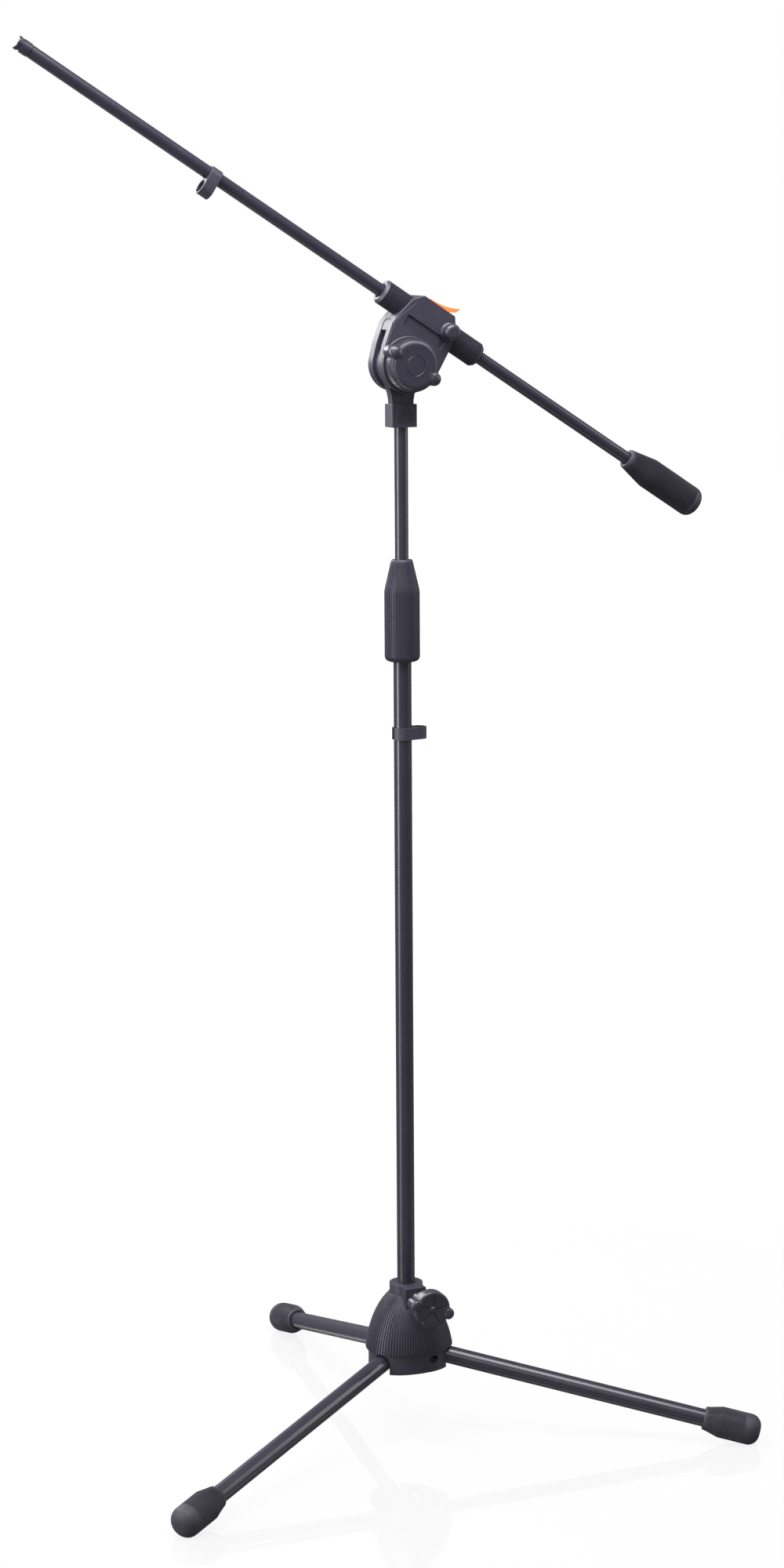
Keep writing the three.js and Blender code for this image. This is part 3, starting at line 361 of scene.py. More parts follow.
# Cast iron: the counterweight's core, rough and dark.
IRON = finish("cast_iron", "#55565a", "#3e3f42", 0.6, 0.1, 0.8 * MM, 0.05 * MM, 0.9)

# %% [markdown]
# Parts that hide inside others keep their measured shape and only need their finish: pins,
# screws, inserts, the spring, the brake pad and the iron core.

# %% Finishes for the parts that stay as measured
KEPT = {
    STEEL: ["hub_screw_1", "hub_screw_2", "hub_screw_3", "base_knob_stud", "rod_stud",
            "boom_knob_screw", "lever_pin", "lever_spring"],
    PIN_STEEL_PAINTED_SHADE: ["leg_pin_a", "leg_pin_b", "leg_pin_c"],
    # The hinge pins are dark as painted shade for the access holes beside them.
    BRASS: ["clamp_pad", "tilt_knob_insert"],
    IRON: ["counterweight_core"],
    RUBBER: ["brake_pad", "friction_washer_front", "friction_washer_back"],
    NYLON: ["clutch_body", "clutch_collet", "rod_guide_bush", "leg_plug_a", "leg_plug_b",
            "leg_plug_c"],
}
for material, names in KEPT.items():
    for name in names:
        node = frame["nodes"][name]
        node.data.materials.clear()
        node.data.materials.append(material)
print(sum(map(len, KEPT.values())), "parts keep their measured shape")

# %% [markdown]
# Most pieces here are turned: tubes, grips, knobs, feet. Half of the section is drawn as a
# line of points and spun about the upright axis. Ribs that run lengthwise are then pushed in
# between the crests, column by column, as a mould would cut them.

# %% Helpers for turned pieces
def spun(profile, steps):
    """Spins a line of (radius, height) points, in mm, about Z. Ends on the axis close it."""
    shape = bmesh.new()
    points = [shape.verts.new((r * MM, 0, z * MM)) for r, z in profile]
    for first, second in zip(points, points[1:]):
        shape.edges.new((first, second))
    bmesh.ops.spin(
        shape,
        geom=shape.verts[:] + shape.edges[:],
        axis=(0, 0, 1),
        cent=(0, 0, 0),
        angle=2 * math.pi,
        steps=steps,
        use_merge=True,
    )
    bmesh.ops.remove_doubles(shape, verts=shape.verts[:], dist=0.002 * MM)
    bmesh.ops.recalc_face_normals(shape, faces=shape.faces[:])
    return shape


def closed(profile):
    """A ring's section: its last point joins its first."""
    return [*profile, profile[0]]


def round_corner(x, z, radius, start, stop, steps=5):
    """Points of an arc of a section, its angles in degrees from outwards to upwards."""
    angles = [math.radians(start + (stop - start) * i / steps) for i in range(steps + 1)]
    return [(x + radius * math.cos(a), z + radius * math.sin(a)) for a in angles]


def steps_between(start, stop, count):
    """Evenly spaced points of a straight line in a section, ends left out."""
    (r0, z0), (r1, z1) = start, stop
    shares = [i / count for i in range(1, count)]
    return [(r0 + (r1 - r0) * s, z0 + (z1 - z0) * s) for s in shares]


def rib(shape, count, depth, bottom, top, inner=0.0, share=0.5):
    """Sinks grooves between lengthwise ribs, from bottom to top, outside an inner radius (mm)."""
    for vert in shape.verts:
        r = math.hypot(vert.co.x, vert.co.y)
        z = vert.co.z / MM
        if r < inner * MM or not bottom <= z <= top:
            continue
        turn = math.atan2(vert.co.y, vert.co.x) / (2 * math.pi) * count
        if (turn + 1e-4) % 1.0 >= share - 1e-3:
            vert.co.xy *= (r - depth * MM) / r


# %% [markdown]
# A finished mesh becomes an object at the origin. It is moved by changing its mesh, so that a
# grain on object coordinates stays the same size and direction. Edges sharper than a set angle
# stay crisp and the rest is shaded smooth.

# %% Helper that finishes a piece
SHARP = math.radians(35)


def make_piece(name, shape, matrix, material, body, nodes=(), sharp=SHARP, bevel=0.0):
    """Places the mesh, gives it its finish, hangs it on the body that it rides on, and hides the
    parts that it replaces.
    """
    bmesh.ops.transform(shape, matrix=matrix, verts=shape.verts[:])
    for face in shape.faces:
        face.smooth = True
    for edge in shape.edges:
        edge.smooth = edge.is_manifold and edge.calc_face_angle(0) < sharp
    data = bpy.data.meshes.new(name)
    shape.to_mesh(data)
    shape.free()
    piece = bpy.data.objects.new(name, data)
    bpy.context.scene.collection.objects.link(piece)
    data.materials.append(material)
    if bevel:
        rounding = piece.modifiers.new("rounding", "BEVEL")
        rounding.width = bevel * MM
        rounding.segments = 2
        rounding.limit_method = "ANGLE"
        rounding.angle_limit = SHARP
        rounding.harden_normals = False
    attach(piece, body)
    if nodes:
        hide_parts(*nodes)
    print(f"{name}: {len(data.vertices)} vertices on {body}")
    return piece


# %% [markdown]
# The tubes are thin-walled steel. Each is spun from a closed section with a small round on its
# rims, fine enough that its outline is a true circle.

# %% Tubes
TUBE_STEPS = 64


def tube(radius, wall, start, stop):
    """A tube between two heights, in mm, with its rims rounded."""
    lip = wall / 3
    section = closed(
        [
            (radius - lip, start),
            (radius, start + lip),
            (radius, stop - lip),
            (radius - lip, stop),
            (radius - wall + lip, stop),
            (radius - wall, stop - lip),
            (radius - wall, start + lip),
            (radius - wall + lip, start),
        ]
    )
    return spun(section, TUBE_STEPS)


MAST_R = (high("lower_tube", 0) - low("lower_tube", 0)) / 2 / MM
ROD_R = (high("upper_rod", 0) - low("upper_rod", 0)) / 2 / MM
BOOM_R = (high("boom_tube", 1) - low("boom_tube", 1)) / 2 / MM
MAST_WALL = 1.2
ROD_WALL = 1.0
for name, radius, wall, body in [
    ("lower_tube", MAST_R, MAST_WALL, "mast"),
    ("upper_rod", ROD_R, ROD_WALL, "upper_rod"),
]:
    shape = tube(radius, wall, low(name, 2) / MM, high(name, 2) / MM)
    make_piece(name + "_skin", shape, ON_MAST, PAINT, body, [name])
shape = tube(BOOM_R, 1.0, -523.6, 385.0)
make_piece("boom_tube_skin", shape, ON_BOOM, PAINT, "boom", ["boom_tube"])

# %% [markdown]
# The three legs are alike, so each piece of a leg is made once and placed three times. A leg's
# matrix has its origin on the hinge pin and its third direction down along the tube. The slope
# comes from the frame's box of the leg that points straight back.

# %% Leg tubes
LEG_NAMES = ["a", "b", "c"]
LEG_REACH = 377.0  # from the hinge pin to the end of the foot
LEG_R = (high("leg_tube_c", 0) - low("leg_tube_c", 0)) / 2 / MM
FOOT_MM = 65.0
drop = high("leg_tube_c", 2) - low("leg_tube_c", 2)
run = high("leg_tube_c", 1) - low("leg_tube_c", 1)
LEG_SLOPE = math.radians(12.6)
print("leg tube runs", round(run / MM), "mm out and", round(drop / MM), "mm down")


def along_leg(letter):
    """A matrix with its origin on the hinge pin and Z down along the leg."""
    joint = JOINTS["leg_fold_" + letter]
    pin = Vector(joint["pos_m"])
    sideways = Vector(joint["axis"])
    outward = sideways.cross(UP) * -1
    if outward.dot(pin - Vector((MAST_X, MAST_Y, pin.z))) < 0:
        outward = -outward
    down = outward * math.cos(LEG_SLOPE) - UP * math.sin(LEG_SLOPE)
    side = UP.cross(outward)
    return frame_of(down.cross(side) * -1, side, down, pin)


for letter in LEG_NAMES:
    shape = tube(LEG_R, 1.2, 6.0, LEG_REACH - 11.3)
    name = "leg_tube_" + letter
    make_piece(name + "_skin", shape, along_leg(letter), PAINT, "leg_" + letter, [name])

# %% [markdown]
# The three legs are alike, so each piece of a leg is made once and placed three times. A leg's
# matrix has its origin on the hinge pin and its third direction down along the tube. The slope
# is given as 12.6 degrees; the frame's box of the leg that points straight back gives the run
# and drop that are printed beside it. Spun
# in many narrow columns, every second pair of columns is sunk for the grooves. A wide flat is
# cut where it stands on the floor, as wear and its own weight give it.

# %% Feet
FOOT_R = 17.6
FOOT_MOUTH_R = 13.0
FOOT_TAPER = 19.0
FOOT_RIBS = 72
FOOT_GROOVE = 0.8


def foot(matrix):
    """A ribbed boot along Z, with its sole cut level on the floor."""
    mouth = LEG_REACH - FOOT_MM
    shoulder = (FOOT_R, mouth + FOOT_TAPER)
    straight = (FOOT_R, LEG_REACH - 19)
    section = [
        (0, LEG_REACH - 11),
        (LEG_R + 0.3, LEG_REACH - 11),
        (LEG_R + 0.3, mouth + 0.4),
        (LEG_R + 0.8, mouth),
        (FOOT_MOUTH_R - 0.8, mouth),
        (FOOT_MOUTH_R, mouth + 0.8),
        (FOOT_MOUTH_R + 0.3, mouth + 2),
        *steps_between((FOOT_MOUTH_R, mouth + 2), shoulder, 4),
        shoulder,
        straight,
        (FOOT_R, straight[1] + 0.5),
        *round_corner(FOOT_R - 13, LEG_REACH - 13, 13, 0, 90, 10),
        (0, LEG_REACH),
    ]
    shape = spun(section, FOOT_RIBS * 4)
    rib(shape, FOOT_RIBS, FOOT_GROOVE, mouth + 3, straight[1] + 0.1, inner=FOOT_MOUTH_R - 0.5)
    bmesh.ops.transform(shape, matrix=matrix, verts=shape.verts[:])
    cut = bmesh.ops.bisect_plane(
        shape,
        geom=shape.verts[:] + shape.edges[:] + shape.faces[:],
        plane_co=(0, 0, 0),
        plane_no=(0, 0, -1),
        clear_outer=True,
    )
    edges = [e for e in cut["geom_cut"] if isinstance(e, bmesh.types.BMEdge)]
    bmesh.ops.holes_fill(shape, edges=edges)
    return shape


for letter in LEG_NAMES:
    name = "leg_foot_" + letter
    shape = foot(along_leg(letter))
    make_piece(name + "_boot", shape, Matrix(), RUBBER, "leg_" + letter, [name])

# %% [markdown]
# The hub's cover is a bell of moulded nylon. It swells a little towards each leg, and fine ribs
# run from its rim up to the collar. Its section is spun, the ribs are sunk, and then each point
# is pushed out by a wave with three crests, more at the rim than at the top.

# %% Hub cover
FLOOR_SHIFT = -1.507  # the frame's floor, below that of the hub's own drawing
HUB_MIDDLE_R = 49.5
HUB_LOBE = 3.2
HUB_RIM_Z = 106.0 + FLOOR_SHIFT
HUB_TOP_Z = 168.0 + FLOOR_SHIFT
COLLAR_R = 19.0
BELL_BEND = (44.0, 146.0 + FLOOR_SHIFT)
BELL_RIBS = 96
BELL_GROOVE = 1.3
LEG_TURN = math.radians(90)  # angle of the leg that points straight back


def swell(shape, full=HUB_MIDDLE_R):
    """Pushes a turned shape out towards the three legs, more where it is wider."""
    for vert in shape.verts:
        r = math.hypot(vert.co.x, vert.co.y)
        if r < COLLAR_R * MM:
            continue
        share = (r / MM - COLLAR_R) / (full - COLLAR_R)
        turn = math.atan2(vert.co.y, vert.co.x) - LEG_TURN
        vert.co.xy *= (r + HUB_LOBE * MM * share * math.cos(3 * turn)) / r


def bell(offset, steps=16):
    """The bell's curve from its rim to the collar, moved out by an offset, in mm."""
    points = []
    for i in range(steps + 1):
        t = i / steps
        near = (1 - t) ** 2
        bend = 2 * t * (1 - t)
        far = t * t
        r = near * HUB_MIDDLE_R + bend * BELL_BEND[0] + far * (COLLAR_R + 0.6)
        z = near * HUB_RIM_Z + bend * (BELL_BEND[1] + offset) + far * (HUB_TOP_Z + offset)
        points.append((r + offset, z))
    return points


section = closed(
    [
        (HUB_MIDDLE_R - 0.8, HUB_RIM_Z),
        (HUB_MIDDLE_R - 0.2, HUB_RIM_Z + 0.4),
        *bell(0)[1:],
        (COLLAR_R - 4.5, HUB_TOP_Z),
        (COLLAR_R - 4.5, HUB_TOP_Z - 3),
        *reversed(bell(-3.2)),
    ]
)
shape = spun(section, BELL_RIBS * 4)
rib(shape, BELL_RIBS, BELL_GROOVE, HUB_RIM_Z - 0.1, HUB_TOP_Z - 1.5, inner=COLLAR_R + 0.5)
swell(shape)
make_piece("bell_cover", shape, ON_MAST, NYLON, "hub", ["hub_cover"])

# %% [markdown]
# Under the bell a smooth skirt carries the legs. It is open below each leg, so that the leg
# can fold down, and a small hole beside each slot lets the hinge pin in. Those openings need
# exact cuts, so the measured frame is copied and its loose triangles are merged.

# %% Hub frame
def measured(node):
    """A copy of a measured part's mesh, merged into one skin, with its flat faces whole."""
    shape = bmesh.new()
    shape.from_mesh(frame["nodes"][node].data)
    bmesh.ops.remove_doubles(shape, verts=shape.verts[:], dist=0.01 * MM)
    bmesh.ops.dissolve_limit(
        shape, angle_limit=math.radians(1), verts=shape.verts[:], edges=shape.edges[:]
    )
    return shape


make_piece("skirt_frame", measured("hub_frame"), Matrix(), NYLON, "hub", ["hub_frame"])

# %% [markdown]
# A collar sits on the bell around the mast, with a square boss in front for the clamp's screw.
# Its shape is exact in the frame, so it is kept and only its edges are rounded, as a mould's
# edges are.

# %% Collar and end plug
make_piece(
    "collar_and_boss", measured("base_collar"), Matrix(), NYLON, "hub", ["base_collar"], bevel=0.8
)

PLUG_TOP = low("lower_tube", 2) / MM - 0.3
PLUG_R = 12.6
section = [
    (0, PLUG_TOP - 2.5),
    (PLUG_R - 0.8, PLUG_TOP - 2.5),
    (PLUG_R, PLUG_TOP - 1.7),
    (PLUG_R, PLUG_TOP - 0.3),
    (PLUG_R - 0.3, PLUG_TOP),
    (MAST_R - MAST_WALL - 0.3, PLUG_TOP),
    (MAST_R - MAST_WALL - 0.3, PLUG_TOP + 14),
    (0, PLUG_TOP + 14),
]
make_piece("end_plug", spun(section, 48), ON_MAST, NYLON, "mast", ["mast_end_plug"])

# %% [markdown]
# Both large knobs are discs with two round finger lobes. The disc is spun, and its rim is then
# pushed out to the outline of a smaller circle that stands on the rim, once on each side. The
# rounding of the disc's edge carries on over the lobes, so they look moulded in one.

# %% Helper for lobes on a rim
def push_lobes(shape, rim, lobe, core, face, crown, angle=0.0):
    """Pushes the rim of a spun disc out over two opposite circles that are centred on it, and
    raises the face there into a low dome, by the crown's height."""
    for vert in shape.verts:
        r = math.hypot(vert.co.x, vert.co.y) / MM
        if r <= core:
            continue
        turn = math.atan2(vert.co.y, vert.co.x) - angle
        turn = (turn + math.pi / 2) % math.pi - math.pi / 2
        if abs(rim * math.sin(turn)) >= lobe:
            continue
        reach = rim * math.cos(turn) + math.sqrt(lobe**2 - (rim * math.sin(turn)) ** 2)
        share = (r - core) / (rim - core)
        vert.co.xy *= (r + share * max(0, reach - rim)) / r
        moved = math.hypot(vert.co.x, vert.co.y) / MM
        apart = math.hypot(moved * math.cos(turn) - rim, moved * math.sin(turn)) / lobe
        if apart < 1 and vert.co.z / MM > face - 3:
            vert.co.z += crown * MM * math.sqrt(1 - apart**2)


def near_lobe(vert, rim, lobe, angle=0.0):
    """True where a spun point lies within a lobe's width."""
    turn = math.atan2(vert.co.y, vert.co.x) - angle
    turn = (turn + math.pi / 2) % math.pi - math.pi / 2
    return abs(rim * math.sin(turn)) < lobe + 0.4


# %% [markdown]
# The base knob clamps the mast. Its face has a small hub and five grooves like the rays of a
# star. The spun face has rings of points, and those on a ray are pressed in.

# %% Base knob
KNOB_Z = JOINTS["base_knob_turn"]["pos_m"][2] / MM
BASE_KNOB_FACE = 77.0  # from the mast's axis
BASE_KNOB_T = 15.0
BASE_KNOB_R = 21.0
BASE_LOBE_R = 6.5
BASE_LOBE_TILT = math.radians(-20)
LOBE_CROWN = 2.5
BASE_NECK_R = 9.0
BASE_NECK_BACK = 36.0
STAR_RAYS = 5
STAR_DEPTH = 0.9
SCREW_R = 4.3


def press_rays(shape, count, depth, inner, outer, above, start):
    """Presses grooves into a face along rays, between two radii."""
    for vert in shape.verts:
        r = math.hypot(vert.co.x, vert.co.y) / MM
        if not inner <= r <= outer or vert.co.z / MM < above:
            continue
        turn = (math.atan2(vert.co.y, vert.co.x) - start) / (2 * math.pi) * count
        aside = abs((turn + 0.5) % 1.0 - 0.5) * 2 * math.pi / count * r
        if aside < 0.45:
            vert.co.z -= depth * MM


back = BASE_KNOB_FACE - BASE_KNOB_T
section = [
    (0, BASE_KNOB_FACE - 0.2),
    (2.6, BASE_KNOB_FACE - 0.2),
    (3.2, BASE_KNOB_FACE - 0.8),
    (3.6, BASE_KNOB_FACE - 1.2),
    *steps_between((3.6, BASE_KNOB_FACE - 1.2), (BASE_KNOB_R - 2.5, BASE_KNOB_FACE), 12),
    *reversed(round_corner(BASE_KNOB_R - 2.5, BASE_KNOB_FACE - 2.5, 2.5, 0, 90, 5)),
    (BASE_KNOB_R, BASE_KNOB_FACE - 6),
    (BASE_KNOB_R, back + 2),
    (BASE_KNOB_R - 1.5, back + 0.4),
    (BASE_KNOB_R - 2.5, back),
    (BASE_NECK_R, back),
    (BASE_NECK_R, BASE_NECK_BACK + 0.6),
    (BASE_NECK_R - 0.6, BASE_NECK_BACK),
    (SCREW_R, BASE_NECK_BACK),
    (SCREW_R, back + 10.3),
    (0, back + 10.3),
]
shape = spun(section, 240)
press_rays(shape, STAR_RAYS, STAR_DEPTH, 4.0, BASE_KNOB_R - 3, BASE_KNOB_FACE - 2, math.radians(80))
push_lobes(
    shape, BASE_KNOB_R, BASE_LOBE_R, BASE_KNOB_R - 6, BASE_KNOB_FACE, LOBE_CROWN, BASE_LOBE_TILT
)
make_piece(
    "base_knob_moulding",
    shape,
    facing_front(MAST_X, KNOB_Z * MM),
    SMOOTH_NYLON,
    "base_knob",
    ["base_knob"],
)

# %% [markdown]
# The clutch is a twist grip on the mast: straight below, conical above, ribbed all round. Its
# ribs narrow with the cone, because they follow the columns of the spin.

# %% Clutch grip
GRIP_BOTTOM = low("clutch_grip", 2) / MM
GRIP_TOP = high("clutch_grip", 2) / MM
GRIP_R = (high("clutch_grip", 1) - low("clutch_grip", 1)) / 2 / MM
GRIP_CONE = GRIP_TOP - 34
GRIP_TOP_R = 12.0
GRIP_RIBS = 64
GRIP_GROOVE = 0.9
cone = [(GRIP_R, GRIP_CONE), (GRIP_TOP_R, GRIP_TOP - 1)]
section = closed(
    [
        (MAST_R + 0.6, GRIP_BOTTOM),
        *round_corner(GRIP_R - 6, GRIP_BOTTOM + 6, 6, -90, 0, 6),
        (GRIP_R, GRIP_BOTTOM + 7),
        (GRIP_R, GRIP_CONE - 3),
        (GRIP_R - 0.15, GRIP_CONE),
        *steps_between(cone[0], cone[1], 8),
        cone[1],
        (GRIP_TOP_R - 0.8, GRIP_TOP),
        (ROD_R + 1.2, GRIP_TOP),
        (ROD_R + 0.6, GRIP_TOP - 0.6),
        (ROD_R + 0.6, GRIP_TOP - 24),
        (14.8, GRIP_TOP - 30),
        (14.8, GRIP_BOTTOM + 15),
        (MAST_R + 0.6, GRIP_BOTTOM + 15),
    ]
)
shape = spun(section, GRIP_RIBS * 4)
rib(shape, GRIP_RIBS, GRIP_GROOVE, GRIP_BOTTOM + 0.5, GRIP_TOP - 3, inner=MAST_R + 4.9)
rib(shape, GRIP_RIBS, GRIP_GROOVE, GRIP_CONE + 18, GRIP_TOP - 3, inner=GRIP_TOP_R - 0.5)
make_piece("twist_grip", shape, ON_MAST, NYLON, "clutch_grip", ["clutch_grip"])

# %% [markdown]
# Two spring clips hold the microphone's cable against the tubes. They are thin nylon bands with
# an open loop, exact in the frame, so only their edges are softened.

# %% Cable clips
make_piece("mast_cable_clip", measured("mast_clip"), Matrix(), NYLON, "mast_clip", ["mast_clip"],
           bevel=0.35)
make_piece("boom_cable_clip", measured("boom_clip"), Matrix(), NYLON, "boom_clip", ["boom_clip"],
           bevel=0.35)

# %% [markdown]
# The yoke carries the head: a disc for the tilt joint, a neck that flares into it, and a square
# socket on the rod. The socket's front and back are ribbed. The ribs are bars with rounded
# edges, set side by side on the flat.

# %% Yoke and the ribs of its socket
make_piece("yoke_moulding", measured("yoke"), Matrix(), NYLON, "yoke", ["yoke"], bevel=0.9)

SOCKET_LOW = low("yoke", 2) / MM
SOCKET_HALF = 10.5  # from the mast's axis to the socket's front
SOCKET_RIBS = 10
RIB_PITCH = 1.9
RIB_WIDTH = 1.1
RIB_TALL = 19.0
RIB_PROUD = 0.5


def bar_row(count, pitch, width, tall, proud, centre):
    """A row of upright bars with bevelled edges, around a centre."""
    row = bmesh.new()
    for i in range(count):
        bar = bmesh.ops.create_cube(row, size=1.0)["verts"]
        bmesh.ops.scale(row, vec=Vector((width, 2 * proud, tall)) * MM, verts=bar)
        across = (i - (count - 1) / 2) * pitch * MM
        bmesh.ops.translate(row, vec=centre + Vector((across, 0, 0)), verts=bar)
    bmesh.ops.bevel(
        row,
        geom=row.edges[:],
        offset=0.3 * MM,
        affect="EDGES",
        segments=2,
        profile=0.5,
        material=-1,
    )
    return row


for side, word in [(-1, "front"), (1, "back")]:
    centre = Vector((MAST_X, MAST_Y + side * SOCKET_HALF * MM, (SOCKET_LOW + 14) * MM))
    row = bar_row(SOCKET_RIBS, RIB_PITCH, RIB_WIDTH, RIB_TALL, RIB_PROUD, centre)
    make_piece("socket_ribs_" + word, row, Matrix(), NYLON, "yoke")

# %% [markdown]
# The head is two shells that clamp the boom's sleeve. The back one is plain. The front one has
# a raised panel over its lower part, so its measured front is set back by the panel's height,
# and the panel is drawn as an outline with a shallow rectangular pocket, filled and given its
# thickness. The pocket would hold a label; it is left blank.

# %% Shells
PANEL_T = 2.0
SHELL_HALF = 20.0
IN_HEAD_FRONT = frame_of(ALONG, ACROSS, FRONT, TILT)
make_piece("back_casing", measured("back_shell"), Matrix(), NYLON, "head", ["back_shell"],
           bevel=1.2)
shape = measured("front_shell")
face_y = MAST_Y - SHELL_HALF * MM
front_points = [v for v in shape.verts if v.co.y < face_y + 0.1 * MM]
bmesh.ops.translate(shape, vec=-FRONT * PANEL_T * MM, verts=front_points)
make_piece("front_casing", shape, Matrix(), NYLON, "head", ["front_shell"], bevel=1.0)

PANEL_LEFT = [(-33.0, 8.0), (-37.3, 29.0), (-35.4, 40.5), (-27.1, 60.9)]
PANEL_STEP = [(-13.0, 51.9), (10.0, 53.0), (22.0, 54.7)]
PANEL_RIGHT = [(32.6, 45.0), (34.6, 12.0)]
PANEL_ROUND = 30.0
POCKET_LOW = (-28.0, 33.5)
POCKET_HIGH = (24.0, 46.5)
POCKET_CORNER = 1.5


def loop(shape, points):
    """Joins points of a flat outline, in mm, into a closed loop of edges."""
    verts = [shape.verts.new((x * MM, y * MM, 0)) for x, y in points]
    return [shape.edges.new((a, b)) for a, b in zip(verts, verts[1:] + verts[:1])]


def rounded_box(lowest, highest, corner):
    """The outline of a rectangle with rounded corners."""
    x0, y0 = lowest
    x1, y1 = highest
    corners = [(x1, y1, 0, 90), (x0, y1, 90, 180), (x0, y0, 180, 270), (x1, y0, 270, 360)]
    points = []
    for x, y, start, stop in corners:
        cx = x - corner if x == x1 else x + corner
        cy = y - corner if y == y1 else y + corner
        points += round_corner(cx, cy, corner, start, stop, 3)
    return points


def raise_plate(outlines, thickness):
    """A flat plate, filled between its outlines, with its holes left open."""
    plate = bmesh.new()
    edges = [edge for outline in outlines for edge in loop(plate, outline)]
    bmesh.ops.triangle_fill(plate, edges=edges, use_beauty=True, use_dissolve=False)
    skin = bmesh.ops.extrude_face_region(plate, geom=plate.faces[:])
    raised = [v for v in skin["geom"] if isinstance(v, bmesh.types.BMVert)]
    bmesh.ops.translate(plate, vec=(0, 0, thickness * MM), verts=raised)
    bmesh.ops.recalc_face_normals(plate, faces=plate.faces[:])
    return plate


bottom = round_corner(0, 0, PANEL_ROUND, -15, -165, 24)
panel = PANEL_LEFT + PANEL_STEP + PANEL_RIGHT + bottom
plate = raise_plate([panel, rounded_box(POCKET_LOW, POCKET_HIGH, POCKET_CORNER)], PANEL_T)
on_front = IN_HEAD_FRONT @ Matrix.Translation((0, 0, (SHELL_HALF - PANEL_T) * MM))
make_piece("front_panel", plate, on_front, NYLON, "head", bevel=0.6)

# %% [markdown]
# Between the shells a web closes the slot above the yoke's disc. Its lower edge is an arc that
# clears the disc, and it ends where the neck passes when the head is tilted right over.

# %% Web between the shells
WEB_HALF = 7.3
WEB_CLEAR = 28.2
WEB_LOW = 21.0
WEB_LEFT = [(-37.4, 34.3), (-38.2, 29.0), (-36.6, WEB_LOW)]
WEB_RIGHT = [(35.1, WEB_LOW), (34.4, 34.3)]
edge = math.degrees(math.asin(WEB_LOW / WEB_CLEAR))
over_disc = round_corner(0, 0, WEB_CLEAR, 180 - edge, edge, 20)
web = raise_plate([WEB_LEFT + over_disc + WEB_RIGHT], 2 * WEB_HALF)
centred = IN_HEAD_FRONT @ Matrix.Translation((0, 0, -WEB_HALF * MM))
make_piece("casing_web", web, centred, NYLON, "head", bevel=0.4)

# %% [markdown]
# The sleeve runs through the head and holds the boom. It is finely ribbed lengthwise, and each
# end has a smooth chamfered rim.

# %% Boom sleeve
SLEEVE_R = (high("boom_sleeve", 1) - low("boom_sleeve", 1)) / 2 / MM
SLEEVE_FROM = -62.5
SLEEVE_TO = 73.0
SLEEVE_RIBS = 56
SLEEVE_GROOVE = 0.7
SLEEVE_RIM = 3.0
bore = BOOM_R + 0.3
section = closed(
    [
        (bore, SLEEVE_FROM + 1.5),
        (bore + 1.5, SLEEVE_FROM),
        (SLEEVE_R - 2.2, SLEEVE_FROM),
        (SLEEVE_R - 0.3, SLEEVE_FROM + SLEEVE_RIM - 0.3),
        (SLEEVE_R, SLEEVE_FROM + SLEEVE_RIM),
        (SLEEVE_R, SLEEVE_FROM + SLEEVE_RIM + 0.3),
        *steps_between((SLEEVE_R, SLEEVE_FROM + 4), (SLEEVE_R, SLEEVE_TO - 4), 4),
        (SLEEVE_R, SLEEVE_TO - SLEEVE_RIM - 0.3),
        (SLEEVE_R, SLEEVE_TO - SLEEVE_RIM),
        (SLEEVE_R - 0.3, SLEEVE_TO - SLEEVE_RIM + 0.3),
        (SLEEVE_R - 2.2, SLEEVE_TO),
        (bore + 1.5, SLEEVE_TO),
        (bore, SLEEVE_TO - 1.5),
    ]
)
shape = spun(section, SLEEVE_RIBS * 4)
rib(shape, SLEEVE_RIBS, SLEEVE_GROOVE, SLEEVE_FROM + SLEEVE_RIM + 0.2,
    SLEEVE_TO - SLEEVE_RIM - 0.2, inner=SLEEVE_R - 1)
make_piece("ribbed_sleeve", shape, ON_BOOM, NYLON, "head", ["boom_sleeve"])

# %% [markdown]
# The tilt knob stands on a thin disc. Its face is smooth, its wall and its bevel are ribbed, and
# two smooth lobes give the fingers a hold. The ribs are sunk only away from the lobes.

# %% Tilt knob
TILT_KNOB_R = 29.0
TILT_KNOB_FACE = 42.0
TILT_KNOB_BACK = 24.0
TILT_LOBE_R = 7.2
TILT_RIBS = 96
TILT_GROOVE = 0.8
CAP_R = 10.7
bevel_start = (TILT_KNOB_R, TILT_KNOB_FACE - 6)
bevel_end = (TILT_KNOB_R - 6.5, TILT_KNOB_FACE)
section = [
    (0, TILT_KNOB_FACE - 2.8),
    (CAP_R + 0.3, TILT_KNOB_FACE - 2.8),
    (CAP_R + 0.3, TILT_KNOB_FACE - 0.3),
    (CAP_R + 0.7, TILT_KNOB_FACE),
    *steps_between((CAP_R + 1, TILT_KNOB_FACE), bevel_end, 3),
    *reversed(round_corner(bevel_end[0], bevel_start[1], 6.3, 0, 90, 8)),
    (TILT_KNOB_R, bevel_start[1] - 1),
    (TILT_KNOB_R, TILT_KNOB_BACK + 2),
    (TILT_KNOB_R - 0.5, TILT_KNOB_BACK + 0.5),
    (TILT_KNOB_R - 1, TILT_KNOB_BACK),
    (7.3, TILT_KNOB_BACK),
    (7.3, TILT_KNOB_BACK + 12.3),
    (0, TILT_KNOB_BACK + 12.3),
]
shape = spun(section, TILT_RIBS * 4)
free = [v for v in shape.verts if not near_lobe(v, TILT_KNOB_R, TILT_LOBE_R)]
for vert in free:
    r = math.hypot(vert.co.x, vert.co.y) / MM
    z = vert.co.z / MM
    turn = math.atan2(vert.co.y, vert.co.x) / (2 * math.pi) * TILT_RIBS
    if r > bevel_end[0] + 0.5 and z > TILT_KNOB_BACK + 1 and (turn + 1e-4) % 1.0 >= 0.499:
        vert.co.xy *= (r - TILT_GROOVE) / r
